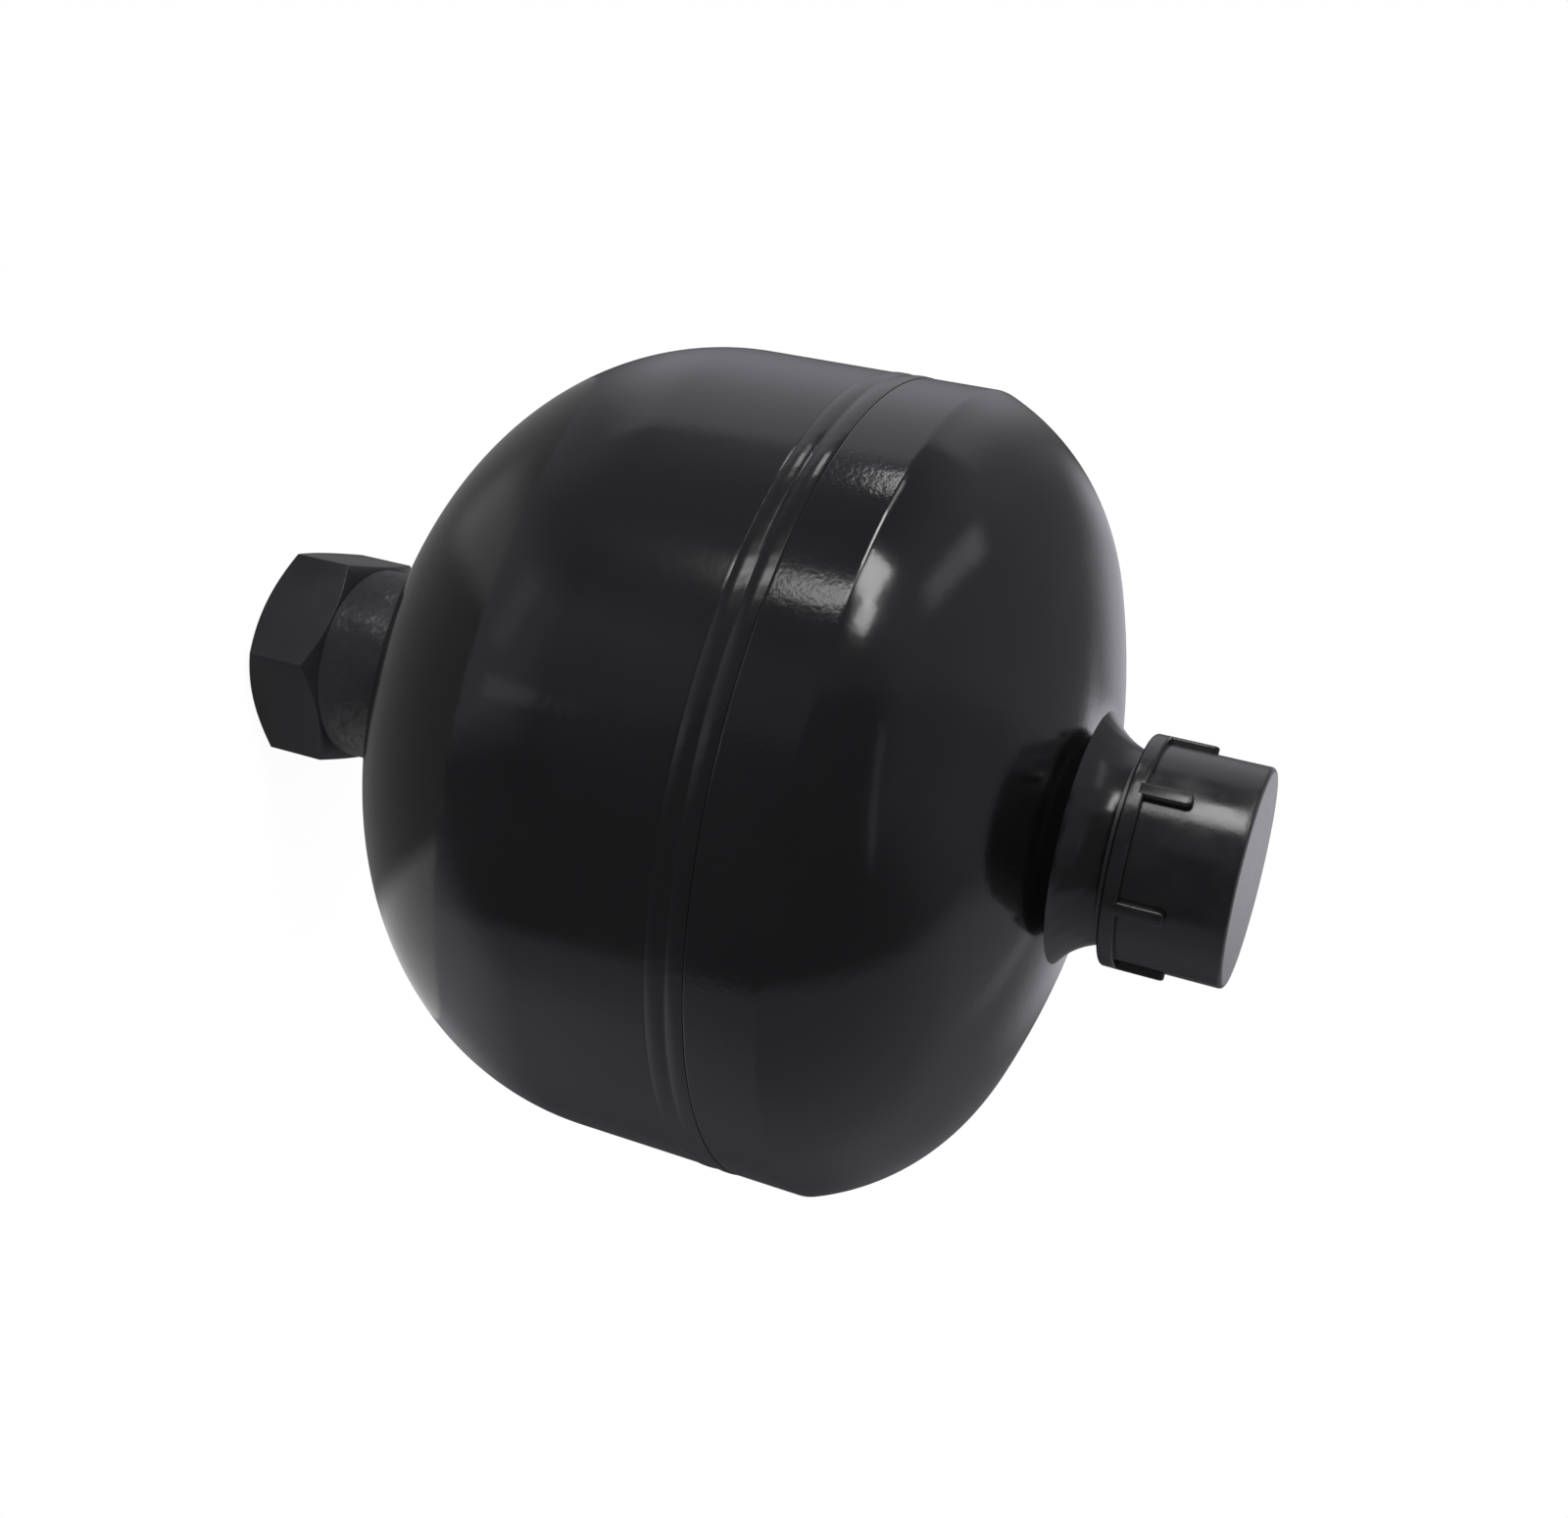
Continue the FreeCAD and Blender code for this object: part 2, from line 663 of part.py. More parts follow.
def work_out_places(s):
    """Radii and heights that more than one piece uses, stacked up from the port's face."""
    p = types.SimpleNamespace()
    p.radius = s.vessel_diameter / 2
    p.bore_radius = p.radius - s.shell_wall
    p.recess_radius = p.bore_radius + s.recess_depth
    p.root_radius = p.recess_radius + s.weld_root_nose

    p.neck_radius = s.hexagon_across_flats / 2 - s.neck_step
    p.port_spigot_radius = p.neck_radius - s.port_shoulder
    p.port_hole_radius = p.port_spigot_radius + s.thread_gap
    p.port_land = s.hexagon_length + s.neck_length
    p.fluid_dome = Dome(p.radius, s.fluid_knuckle, p.radius + s.fluid_crown_flattening, DOWN)
    p.fluid_dome.set_crown_point(p.neck_radius, p.port_land)
    p.port_top = p.fluid_dome.crown_height(p.port_spigot_radius, s.shell_wall)
    p.seat = p.port_top - s.port_seat_depth
    p.seat_radius = s.button_diameter / 2 + s.seat_gap

    p.weld_bottom = p.fluid_dome.base + s.fluid_skirt_length
    p.seam = p.weld_bottom + s.girth_weld_width / 2
    p.weld_top = p.seam + s.girth_weld_width / 2
    p.recess_bottom = p.seam - s.recess_below_seam
    p.recess_top = p.seam + s.recess_above_seam
    p.bead_top = p.recess_bottom + s.bead_height
    p.bead_inside = p.bore_radius - s.membrane_gap - s.membrane_thickness

    p.band_edge = p.weld_top + s.gas_band_length
    gas_equator = p.radius + s.gas_band_cut
    p.gas_dome = Dome(gas_equator, s.gas_knuckle, gas_equator + s.gas_crown_flattening, UP)
    p.gas_dome.set_knuckle_point(p.radius, p.band_edge)
    p.boss_radius = s.boss_thread_diameter / 2 + s.boss_shoulder
    p.boss_spigot_radius = p.boss_radius - s.boss_spigot_step
    p.boss_hole_radius = p.boss_spigot_radius + s.thread_gap
    p.boss_land = p.gas_dome.crown_height(p.boss_radius, as_measure(0))
    p.boss_bottom = p.gas_dome.crown_height(p.boss_spigot_radius, s.shell_wall)
    p.cap_seat = p.boss_land + s.boss_shoulder_length
    p.boss_top = p.cap_seat + s.boss_thread_length
    # The cap is screwed down until its rim meets the shoulder or its end meets the boss's top
    cap_bottomed = p.boss_top + s.fit_gap - s.cap_length + s.cap_end_wall
    p.cap_rim = greater(p.cap_seat, cap_bottomed)
    p.screw_floor = p.boss_top - s.boss_counterbore_depth

    p.button_bottom = p.seat + s.fit_gap
    p.button_top = p.button_bottom + s.button_thickness
    p.anchor_bottom = p.button_top + s.button_stem_length
    p.anchor_top = p.anchor_bottom + s.button_anchor_thickness
    return p


def check(document, pieces):
    for thing in document.Objects:
        if "Invalid" in thing.State or "Error" in thing.State:
            raise RuntimeError("%s did not build: %s" % (thing.Name, thing.State))
    for piece in pieces:
        if piece.Shape.isNull() or not piece.Shape.isValid() or len(piece.Shape.Solids) != 1:
            raise RuntimeError("%s has no single valid solid" % piece.Label)


def main():
    document = FreeCAD.newDocument("diaphragm_accumulator")
    s = write_sheet(document)
    place = work_out_places(s)
    makers = (
        make_fluid_port, make_fluid_port_weld, make_fluid_shell, make_girth_weld,
        make_gas_shell, make_gas_boss_weld, make_gas_boss, make_charging_screw,
        make_charging_screw_seal, make_protective_cap, make_diaphragm,
        make_closing_button, make_retaining_ring,
    )
    pieces = [maker(document, s, place) for maker in makers]
    document.recompute()
    check(document, pieces)
    os.makedirs("parts", exist_ok=True)
    for piece in pieces:
        piece.Shape.exportStep("parts/%s.step" % piece.Label)
        box = piece.Shape.BoundBox
        print("%-20s volume %10.1f mm3, height %6.2f to %6.2f, across %6.2f"
              % (piece.Label, piece.Shape.Volume, box.ZMin, box.ZMax, box.XLength))


main()
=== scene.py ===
"""Looks of a welded diaphragm accumulator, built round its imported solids.

The steel vessel stands on its oil port, as in the solids: +Z runs to the gas side. The outside
pieces and the diaphragm are turned again here with fine, even facets, so that the gloss paint
mirrors cleanly. Sizes are in millimetres and degrees, as on a drawing; meshes are in metres.
"""

import math
import types

import bmesh
import bpy
from mathutils import Matrix, Vector


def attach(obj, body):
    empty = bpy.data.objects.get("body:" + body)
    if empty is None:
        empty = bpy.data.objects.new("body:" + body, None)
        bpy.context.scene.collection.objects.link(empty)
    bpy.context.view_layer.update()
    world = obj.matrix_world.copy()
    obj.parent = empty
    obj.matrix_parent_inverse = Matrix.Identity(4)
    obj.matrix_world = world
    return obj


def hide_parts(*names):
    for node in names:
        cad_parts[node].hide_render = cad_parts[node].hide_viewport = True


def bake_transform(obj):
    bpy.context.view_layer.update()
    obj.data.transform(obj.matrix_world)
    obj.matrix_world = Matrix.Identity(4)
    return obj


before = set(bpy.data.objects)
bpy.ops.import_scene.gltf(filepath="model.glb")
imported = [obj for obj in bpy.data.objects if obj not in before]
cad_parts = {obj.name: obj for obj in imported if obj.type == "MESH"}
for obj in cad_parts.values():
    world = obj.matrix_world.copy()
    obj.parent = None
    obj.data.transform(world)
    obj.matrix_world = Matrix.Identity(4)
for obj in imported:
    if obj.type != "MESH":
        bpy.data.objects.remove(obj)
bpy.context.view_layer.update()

MM = 0.001
LEFT, RIGHT = "left", "right"
TURN_SEGMENTS, WELD_SEGMENTS, DIAPHRAGM_SEGMENTS = 240, 720, 180
ARC_STEP = 1.5
EDGE_HOLD = 0.5
NEAR_AXIS = 1e-6

# Sizes, named as in the part's source
SIZE = types.SimpleNamespace(
    hexagon_across_flats=36.0, hexagon_length=14.3, hexagon_face_step=0.3,
    hexagon_chamfer_angle=30.0, neck_step=0.5, neck_length=17.1, port_shoulder=2.3,
    port_thread_minor_diameter=18.63, port_thread_length=14.3, port_mouth_chamfer=1.7,
    port_thread_pitch=1.814, port_thread_depth=1.1, port_drill_angle=118.0,
    port_flow_diameter=11.0, port_seat_depth=2.0,
    vessel_diameter=136.0, shell_wall=6.0, fluid_knuckle=46.8, fluid_crown_flattening=16.9,
    fluid_skirt_length=22.2, gas_band_length=11.6, gas_band_cut=2.9, gas_knuckle=38.0,
    gas_crown_flattening=60.6, recess_depth=1.5, recess_below_seam=11.5, recess_above_seam=7.5,
    girth_weld_width=6.0, girth_weld_groove_width=0.8, weld_root_nose=1.5, port_weld_leg=3.5,
    boss_weld_leg=5.0, boss_weld_height=6.0, boss_weld_hollow=12.0,
    boss_thread_diameter=28.0, boss_thread_length=14.5, boss_thread_chamfer=1.5,
    boss_shoulder=2.1, boss_shoulder_length=7.0, boss_spigot_step=2.6,
    boss_counterbore_depth=8.0, boss_counterbore_gap=0.75, screw_thread_diameter=8.0,
    screw_head_diameter=13.0, cap_length=19.5, cap_wall=3.9, cap_end_wall=2.5,
    cap_edge_radius=0.8, cap_lip_height=1.2, cap_lip_length=2.7, cap_lip_edge=0.5,
    cap_rib_count=6, cap_rib_width=2.6, cap_rib_length=7.4, cap_turn=50.1,
    button_diameter=18.6, button_thickness=3.0, button_stem_diameter=7.0,
    button_stem_length=4.0, button_anchor_diameter=13.0, button_anchor_thickness=2.0,
    membrane_thickness=2.2, membrane_gap=0.3, bead_height=6.0, diaphragm_boss_cover=3.0,
    diaphragm_boss_top_diameter=20.0, diaphragm_boss_foot=3.5,
    seat_gap=0.6, fit_gap=0.1, thread_gap=0.05,
)

# Forms that only the looks have: paint fills the girth weld's beads, tumbling rounds edges
PAINTED_BEAD_RADIUS, PAINTED_GROOVE_DEPTH = 6.0, 0.12
SHELL_SOFTENING, BAND_SOFTENING, BOSS_SOFTENING, PORT_SOFTENING = 0.04, 0.35, 0.15, 0.32
RIB_SOFTENING, RIB_CORNER_SHARE, RIB_CORNER_STEPS = 0.45, 0.8, 6
THREAD_ROWS = 150


def arc_points(start, end, radius, side, step):
    """Points of the shorter arc from start towards end, without its end."""
    dx, dy = end[0] - start[0], end[1] - start[1]
    chord = math.hypot(dx, dy)
    height = math.sqrt(max(radius * radius - chord * chord / 4, 0))
    if side == RIGHT:
        height = -height
    centre_x = (start[0] + end[0]) / 2 - dy / chord * height
    centre_y = (start[1] + end[1]) / 2 + dx / chord * height
    first = math.atan2(start[1] - centre_y, start[0] - centre_x)
    last = math.atan2(end[1] - centre_y, end[0] - centre_x)
    sweep = (last - first + math.pi) % (2 * math.pi) - math.pi
    count = max(3, math.ceil(math.degrees(abs(sweep)) / step))
    return [(centre_x + radius * math.cos(first + sweep * i / count),
             centre_y + radius * math.sin(first + sweep * i / count)) for i in range(count)]


def held_line(start, end):
    """Points of a straight edge without its end, with one close to each end to hold the shading."""
    length = math.dist(start, end)
    if length < 3 * EDGE_HOLD or start[0] == end[0] == 0:
        return [tuple(start)]
    share = EDGE_HOLD / length
    return [tuple(start)] + [tuple(a + (b - a) * t for a, b in zip(start, end))
                             for t in (share, 1 - share)]


def section(corners, step=ARC_STEP):
    """A closed outline as points (radius, height); a corner may carry the arc that leaves it."""
    points = []
    for index, corner in enumerate(corners):
        following = corners[(index + 1) % len(corners)]
        if len(corner) == 2:
            points += held_line(corner, following[:2])
        else:
            points += arc_points(corner[:2], following[:2], corner[2], corner[3], step)
    return points


class Dome:
    """A vessel end of a knuckle that runs tangent into a crown, as in the part's source."""

    def __init__(self, equator, knuckle, crown, way):
        self.equator, self.knuckle, self.crown, self.way = equator, knuckle, crown, way
        self.offset = equator - knuckle
        self.reach = crown - knuckle
        self.drop = math.sqrt(self.reach ** 2 - self.offset ** 2)

    def set_base(self, height):
        self.base = height
        self.centre = height - self.drop * self.way

    def set_crown_point(self, radius, height):
        rise = math.sqrt(self.crown ** 2 - radius ** 2)
        self.set_base(height - rise * self.way + self.drop * self.way)

    def set_knuckle_point(self, radius, height):
        rise = math.sqrt(self.knuckle ** 2 - (radius - self.offset) ** 2)
        self.set_base(height - rise * self.way)

    def knuckle_height(self, radius, inset):
        arc = self.knuckle - inset
        return self.base + math.sqrt(arc ** 2 - (radius - self.offset) ** 2) * self.way

    def crown_height(self, radius, inset=0.0):
        arc = self.crown - inset
        return self.centre + math.sqrt(arc ** 2 - radius ** 2) * self.way

    def join(self, inset=0.0):
        arc = self.crown - inset
        return (arc * self.offset / self.reach,
                self.centre + arc * self.drop / self.reach * self.way)


def work_out_places(s):
    """Radii and heights that follow from the sizes, as in the part's source."""
    p = types.SimpleNamespace()
    p.radius = s.vessel_diameter / 2
    p.bore_radius = p.radius - s.shell_wall
    p.recess_radius = p.bore_radius + s.recess_depth
    p.root_radius = p.recess_radius + s.weld_root_nose
    p.neck_radius = s.hexagon_across_flats / 2 - s.neck_step
    p.port_spigot_radius = p.neck_radius - s.port_shoulder
    p.port_hole_radius = p.port_spigot_radius + s.thread_gap
    p.port_land = s.hexagon_length + s.neck_length
    p.fluid_dome = Dome(p.radius, s.fluid_knuckle, p.radius + s.fluid_crown_flattening, -1)
    p.fluid_dome.set_crown_point(p.neck_radius, p.port_land)
    p.port_top = p.fluid_dome.crown_height(p.port_spigot_radius, s.shell_wall)
    p.seat = p.port_top - s.port_seat_depth
    p.seat_radius = s.button_diameter / 2 + s.seat_gap
    p.weld_bottom = p.fluid_dome.base + s.fluid_skirt_length
    p.seam = p.weld_bottom + s.girth_weld_width / 2
    p.weld_top = p.seam + s.girth_weld_width / 2
    p.recess_bottom = p.seam - s.recess_below_seam
    p.recess_top = p.seam + s.recess_above_seam
    p.band_edge = p.weld_top + s.gas_band_length
    equator = p.radius + s.gas_band_cut
    p.gas_dome = Dome(equator, s.gas_knuckle, equator + s.gas_crown_flattening, 1)
    p.gas_dome.set_knuckle_point(p.radius, p.band_edge)
    p.boss_radius = s.boss_thread_diameter / 2 + s.boss_shoulder
    p.boss_spigot_radius = p.boss_radius - s.boss_spigot_step
    p.boss_hole_radius = p.boss_spigot_radius + s.thread_gap
    p.boss_land = p.gas_dome.crown_height(p.boss_radius)
    p.boss_bottom = p.gas_dome.crown_height(p.boss_spigot_radius, s.shell_wall)
    p.cap_seat = p.boss_land + s.boss_shoulder_length
    p.boss_top = p.cap_seat + s.boss_thread_length
    p.cap_rim = max(p.cap_seat, p.boss_top + s.fit_gap - s.cap_length + s.cap_end_wall)
    p.cap_bore_radius = s.boss_thread_diameter / 2 + s.fit_gap
    p.screw_floor = p.boss_top - s.boss_counterbore_depth
    p.bead_top = p.recess_bottom + s.bead_height
    p.bead_inside = p.bore_radius - s.membrane_gap - s.membrane_thickness
    p.button_top = p.seat + s.fit_gap + s.button_thickness
    p.anchor_bottom = p.button_top + s.button_stem_length
    p.anchor_top = p.anchor_bottom + s.button_anchor_thickness
    return p


PLACE = work_out_places(SIZE)


def write_mesh(form, mesh):
    form.to_mesh(mesh)
    form.free()
    return mesh


def open_mesh(mesh):
    form = bmesh.new()
    form.from_mesh(mesh)
    return form


def bridge(form, lower, upper):
    """Faces from ring to ring; a ring on the axis is the same point again and again."""
    for index in range(len(lower)):
        after = (index + 1) % len(lower)
        corners = list(dict.fromkeys((lower[index], lower[after], upper[after], upper[index])))
        if len(corners) > 2:
            form.faces.new(corners)


def turned_mesh(name, outline, closed=True, bend=None, segments=TURN_SEGMENTS):
    """Turn an outline round the Z axis; bend(number, radius, height, angle) may move a point."""
    form = bmesh.new()
    rings = []
    for number, (radius, height) in enumerate(outline):
        if radius < NEAR_AXIS:
            rings.append([form.verts.new((0, 0, height * MM))] * segments)
            continue
        ring = []
        for step in range(segments):
            angle = 2 * math.pi * step / segments
            r, z = bend(number, radius, height, angle) if bend else (radius, height)
            ring.append(form.verts.new((r * MM * math.cos(angle), r * MM * math.sin(angle),
                                        z * MM)))
        rings.append(ring)
    pairs = list(zip(rings, rings[1:]))
    if closed:
        pairs.append((rings[-1], rings[0]))
    for lower, upper in pairs:
        bridge(form, lower, upper)
    if closed:
        bmesh.ops.recalc_face_normals(form, faces=form.faces)
    return write_mesh(form, bpy.data.meshes.new(name))


def new_object(name, mesh):
    thing = bpy.data.objects.new(name, mesh)
    bpy.context.scene.collection.objects.link(thing)
    return thing


def soften_edges(mesh, width, angle=15.0):
    """Round every edge sharper than the angle, as paint and tumbling leave it."""
    form = open_mesh(mesh)
    sharp = [edge for edge in form.edges
             if len(edge.link_faces) == 2 and edge.calc_face_angle(0) > math.radians(angle)]
    bmesh.ops.bevel(form, geom=sharp, offset=width * MM, offset_type="OFFSET",
                    segments=3, profile=0.5, affect="EDGES", clamp_overlap=True)
    write_mesh(form, mesh)


def shade(mesh, angle=32.0):
    mesh.polygons.foreach_set("use_smooth", [True] * len(mesh.polygons))
    mesh.set_sharp_from_angle(angle=math.radians(angle))


def feed(tree, socket, value):
    """Link a socket to another node's output, or set its own value."""
    if isinstance(value, bpy.types.NodeSocket):
        tree.links.new(value, socket)
    else:
        socket.default_value = value


def add_node(tree, kind, inputs=None, **settings):
    node = tree.nodes.new(kind)
    for name, value in settings.items():
        setattr(node, name, value)
    for name, value in (inputs or {}).items():
        feed(tree, node.inputs[name], value)
    return node


def calculate(tree, operation, *values):
    node = add_node(tree, "ShaderNodeMath", operation=operation)
    for socket, value in zip(node.inputs, values):
        feed(tree, socket, value)
    return node.outputs[0]


def product(tree, first, *others):
    for other in others:
        first = calculate(tree, "MULTIPLY", first, other)
    return first


def total(tree, first, *others):
    for other in others:
        first = calculate(tree, "ADD", first, other)
    return first


def combine(tree, operation, *vectors):
    """A vector operation's result: a number for a dot product or a length, or else a vector."""
    node = add_node(tree, "ShaderNodeVectorMath", operation=operation)
    for socket, vector in zip([socket for socket in node.inputs if socket.enabled], vectors):
        feed(tree, socket, vector)
    return node.outputs["Value" if operation in ("DOT_PRODUCT", "LENGTH") else "Vector"]


def between(tree, value, low, high, start=0.0, end=1.0):
    """Value eased from start at low to end at high."""
    return add_node(tree, "ShaderNodeMapRange", {
        "Value": value, "From Min": low, "From Max": high, "To Min": start, "To Max": end},
        interpolation_type="SMOOTHSTEP").outputs["Result"]


def falling(tree, value, low, high):
    return between(tree, value, low, high, 1.0, 0.0)


def noise_at(tree, place, scale, detail, **inputs):
    return add_node(tree, "ShaderNodeTexNoise", {
        "Vector": place, "Scale": scale, "Detail": detail, **inputs}).outputs["Fac"]


def emptied_nodes(owner):
    """The node tree of a material or a world, ready for nodes of its own."""
    owner.use_nodes = True
    owner.node_tree.nodes.clear()
    return owner.node_tree


def new_group(name, kind, inputs, outputs):
    """A node group; inputs give each name its socket type and value, outputs its socket type."""
    tree = bpy.data.node_groups.new(name, kind)
    for label, (socket_type, value) in inputs.items():
        socket = tree.interface.new_socket(label, in_out="INPUT",
                                           socket_type="NodeSocket" + socket_type)
        if value is not None:
            socket.default_value = value
    for label, socket_type in outputs.items():
        tree.interface.new_socket(label, in_out="OUTPUT", socket_type="NodeSocket" + socket_type)
    return tree, tree.nodes.new("NodeGroupInput"), tree.nodes.new("NodeGroupOutput")


# Shared surface effects, each with a height for the bump and most with a roughness and a tone
TONE_RANGE, GRAIN_RANGE = (0.35, 0.65), (0.3, 0.7)
NIB_SIZE, NIB_SHARE, NIB_HEIGHT = (0.02, 0.09), (0.93, 0.97), 0.5
WAVE_HEIGHT = 0.6


def surface_group(name):
    """A group for a surface effect that a scale and a range of gloss set."""
    return new_group(name, "ShaderNodeTree", {
        "Vector": ("Vector", None), "Scale": ("Float", None), "Gloss Low": ("Float", None),
        "Gloss High": ("Float", None)}, {"Height": "Float", "Roughness": "Float", "Tone": "Float"})


def give_surface(tree, given, made, height, mottle, spread):
    """Hand out a surface's height and mottle; over its spread the mottle goes through the gloss."""
    rough = between(tree, mottle, *spread, given.outputs["Gloss Low"], given.outputs["Gloss High"])
    for name, value in (("Height", height), ("Roughness", rough), ("Tone", mottle)):
        tree.links.new(value, made.inputs[name])


def paint_skin_group():
    """The skin of sprayed paint: orange peel, slow thickness waves and a few dust nibs."""
    tree, given, made = surface_group("paint_skin")
    vector = given.outputs["Vector"]
    peel = noise_at(tree, vector, given.outputs["Scale"], 2.0, Roughness=0.45)
    waves = product(tree, noise_at(tree, vector, 90.0, 1.0), WAVE_HEIGHT)
    nibs = add_node(tree, "ShaderNodeTexVoronoi", {"Vector": vector, "Scale": 160.0})
    nib = product(tree, falling(tree, nibs.outputs["Distance"], *NIB_SIZE),
                  between(tree, nibs.outputs["Color"], *NIB_SHARE), NIB_HEIGHT)
    patches = noise_at(tree, vector, 38.0, 3.0)
    give_surface(tree, given, made, total(tree, peel, waves, nib), patches, TONE_RANGE)
    return tree


def turning_marks_group():
    """Fine rings that a lathe tool leaves round the vessel's axis."""
    tree, given, made = new_group("turning_marks", "ShaderNodeTree",
                                  {"Vector": ("Vector", None)}, {"Height": "Float"})
    split = add_node(tree, "ShaderNodeSeparateXYZ", {"Vector": given.outputs["Vector"]})
    across = calculate(tree, "POWER", split.outputs["X"], 2.0)
    along = calculate(tree, "POWER", split.outputs["Y"], 2.0)
    radius = calculate(tree, "SQRT", total(tree, across, along))
    noise = add_node(tree, "ShaderNodeTexNoise", {
        "W": total(tree, radius, split.outputs["Z"]), "Scale": 2600.0, "Detail": 2.0},
        noise_dimensions="1D")
    tree.links.new(noise.outputs["Fac"], made.inputs["Height"])
    return tree


def moulded_grain_group():
    """The fine mottle of moulded plastic and rubber, and of steel that was handled."""
    tree, given, made = surface_group("moulded_grain")
    vector = given.outputs["Vector"]
    grain = noise_at(tree, vector, given.outputs["Scale"], 3.0)
    give_surface(tree, given, made, grain, noise_at(tree, vector, 160.0, 4.0), GRAIN_RANGE)
    return tree


PAINT_SKIN = paint_skin_group()
TURNING_MARKS = turning_marks_group()
MOULDED_GRAIN = moulded_grain_group()

# Materials. A colour mix node keeps its factor, its two colours and its result in these sockets.
MIX_FACTOR, MIX_COLOURS, MIX_RESULT = 0, (6, 7), 2
PAINT_DARK, PAINT_LIGHT = (0.0050, 0.0050, 0.0056), (0.0078, 0.0077, 0.0084)
PEEL_STRENGTH, PEEL_DEPTH, GRAIN_STRENGTH = 0.35, 0.00004, 0.4


def open_material(material):
    """The tree and shader of a finished material, with its place and height on the vessel."""
    tree = material.node_tree
    shader = next(node for node in tree.nodes if node.type == "BSDF_PRINCIPLED")
    place = next(node for node in tree.nodes if node.type == "TEX_COORD").outputs["Object"]
    rise = add_node(tree, "ShaderNodeSeparateXYZ", {"Vector": place}).outputs["Z"]
    return tree, shader, place, rise


def source_of(socket):
    """The output that a linked socket takes its value from."""
    return socket.links[0].from_socket


def mix_colours(tree, factor, first, second):
    """Mix two colours, each a node's output or three numbers."""
    node = add_node(tree, "ShaderNodeMix", data_type="RGBA")
    tree.links.new(factor, node.inputs[MIX_FACTOR])
    for index, colour in zip(MIX_COLOURS, (first, second)):
        if not isinstance(colour, bpy.types.NodeSocket):
            colour = (*colour, 1.0)
        feed(tree, node.inputs[index], colour)
    return node.outputs[MIX_RESULT]


def coated(name, tones, gloss, scale, depth, strength=GRAIN_STRENGTH, effect=MOULDED_GRAIN,
           marks=None, **values):
    """A material of a surface effect: its tones, gloss and bump, which other marks may give."""
    material = bpy.data.materials.new(name)
    tree = emptied_nodes(material)
    place = tree.nodes.new("ShaderNodeTexCoord").outputs["Object"]
    surface = add_node(tree, "ShaderNodeGroup", {
        "Vector": place, "Scale": scale, "Gloss Low": gloss[0], "Gloss High": gloss[1]},
        node_tree=effect)
    raised = surface
    if marks:
        raised = add_node(tree, "ShaderNodeGroup", {"Vector": place}, node_tree=marks)
    bump = add_node(tree, "ShaderNodeBump", {
        "Strength": strength, "Distance": depth, "Height": raised.outputs["Height"]})
    tone = between(tree, surface.outputs["Tone"], *TONE_RANGE)
    shader = add_node(tree, "ShaderNodeBsdfPrincipled", {
        "Base Color": mix_colours(tree, tone, *tones), "Normal": bump.outputs["Normal"],
        "Roughness": surface.outputs["Roughness"], **values})
    add_node(tree, "ShaderNodeOutputMaterial", {"Surface": shader.outputs["BSDF"]})
    return material


def gloss_paint(name, gloss, peel_scale, greyness=1.0):
    tones = [[tone * greyness for tone in colour] for colour in (PAINT_DARK, PAINT_LIGHT)]
    return coated(name, tones, gloss, peel_scale, PEEL_DEPTH, PEEL_STRENGTH, PAINT_SKIN, IOR=1.5)


def roughen_between(material, low, high, scale, depth, fade=0.2):
    """Add a coarser skin to a paint between two heights of the vessel, in millimetres."""
    tree, shader, place, rise = open_material(material)
    above = between(tree, rise, (low - fade) * MM, (low + fade) * MM)
    below = falling(tree, rise, (high - fade) * MM, (high + fade) * MM)
    coarse = add_node(tree, "ShaderNodeBump", {
        "Distance": depth, "Height": noise_at(tree, place, scale, 2.0),
        "Strength": product(tree, above, below), "Normal": source_of(shader.inputs["Normal"])})
    tree.links.new(coarse.outputs["Normal"], shader.inputs["Normal"])


def paint_light_on_end_face(material, height, face_highlight_colour, roughness):
    """Paint light on a moulded piece's face at a height: a mottled painted highlight makes it
    paler, and it is rougher than its moulded sides.
    """
    tree, shader, place, rise = open_material(material)
    face = between(tree, rise, (height - 0.35) * MM, (height - 0.1) * MM)
    # The face's paler colour is a painted highlight of the light it faces, in a mottle.
    highlight_mottle = between(tree, noise_at(tree, place, 420.0, 5.0), *GRAIN_RANGE, 0.75, 1.0)
    painted_highlight = product(tree, face, highlight_mottle)
    colour = mix_colours(tree, painted_highlight, source_of(shader.inputs["Base Color"]), face_highlight_colour)
    tree.links.new(colour, shader.inputs["Base Color"])
    moulded_gloss = source_of(shader.inputs["Roughness"])
    gloss = add_node(tree, "ShaderNodeMapRange", {
        "Value": face, "To Min": moulded_gloss, "To Max": roughness})
    tree.links.new(gloss.outputs["Result"], shader.inputs["Roughness"])


SHELL_PAINT = gloss_paint("shell_gloss_paint", (0.09, 0.14), 520.0)
PORT_PAINT = gloss_paint("port_satin_paint", (0.26, 0.38), 700.0, greyness=6.5)
roughen_between(SHELL_PAINT, PLACE.weld_top, PLACE.band_edge, 1300.0, 0.000017)
roughen_between(PORT_PAINT, SIZE.hexagon_length + 1.0, PLACE.port_land, 300.0, 0.0004)
WELD_PAINT = gloss_paint("weld_gloss_paint", (0.12, 0.20), 600.0)
STEEL = coated("turned_steel", ((0.47, 0.47, 0.48), (0.60, 0.60, 0.61)), (0.24, 0.38), 900.0,
               0.00002, marks=TURNING_MARKS, Metallic=1.0)
CAP_PLASTIC = coated("cap_plastic", ((0.010, 0.010, 0.011), (0.016, 0.016, 0.017)),
                     (0.16, 0.28), 1400.0, 0.00003)
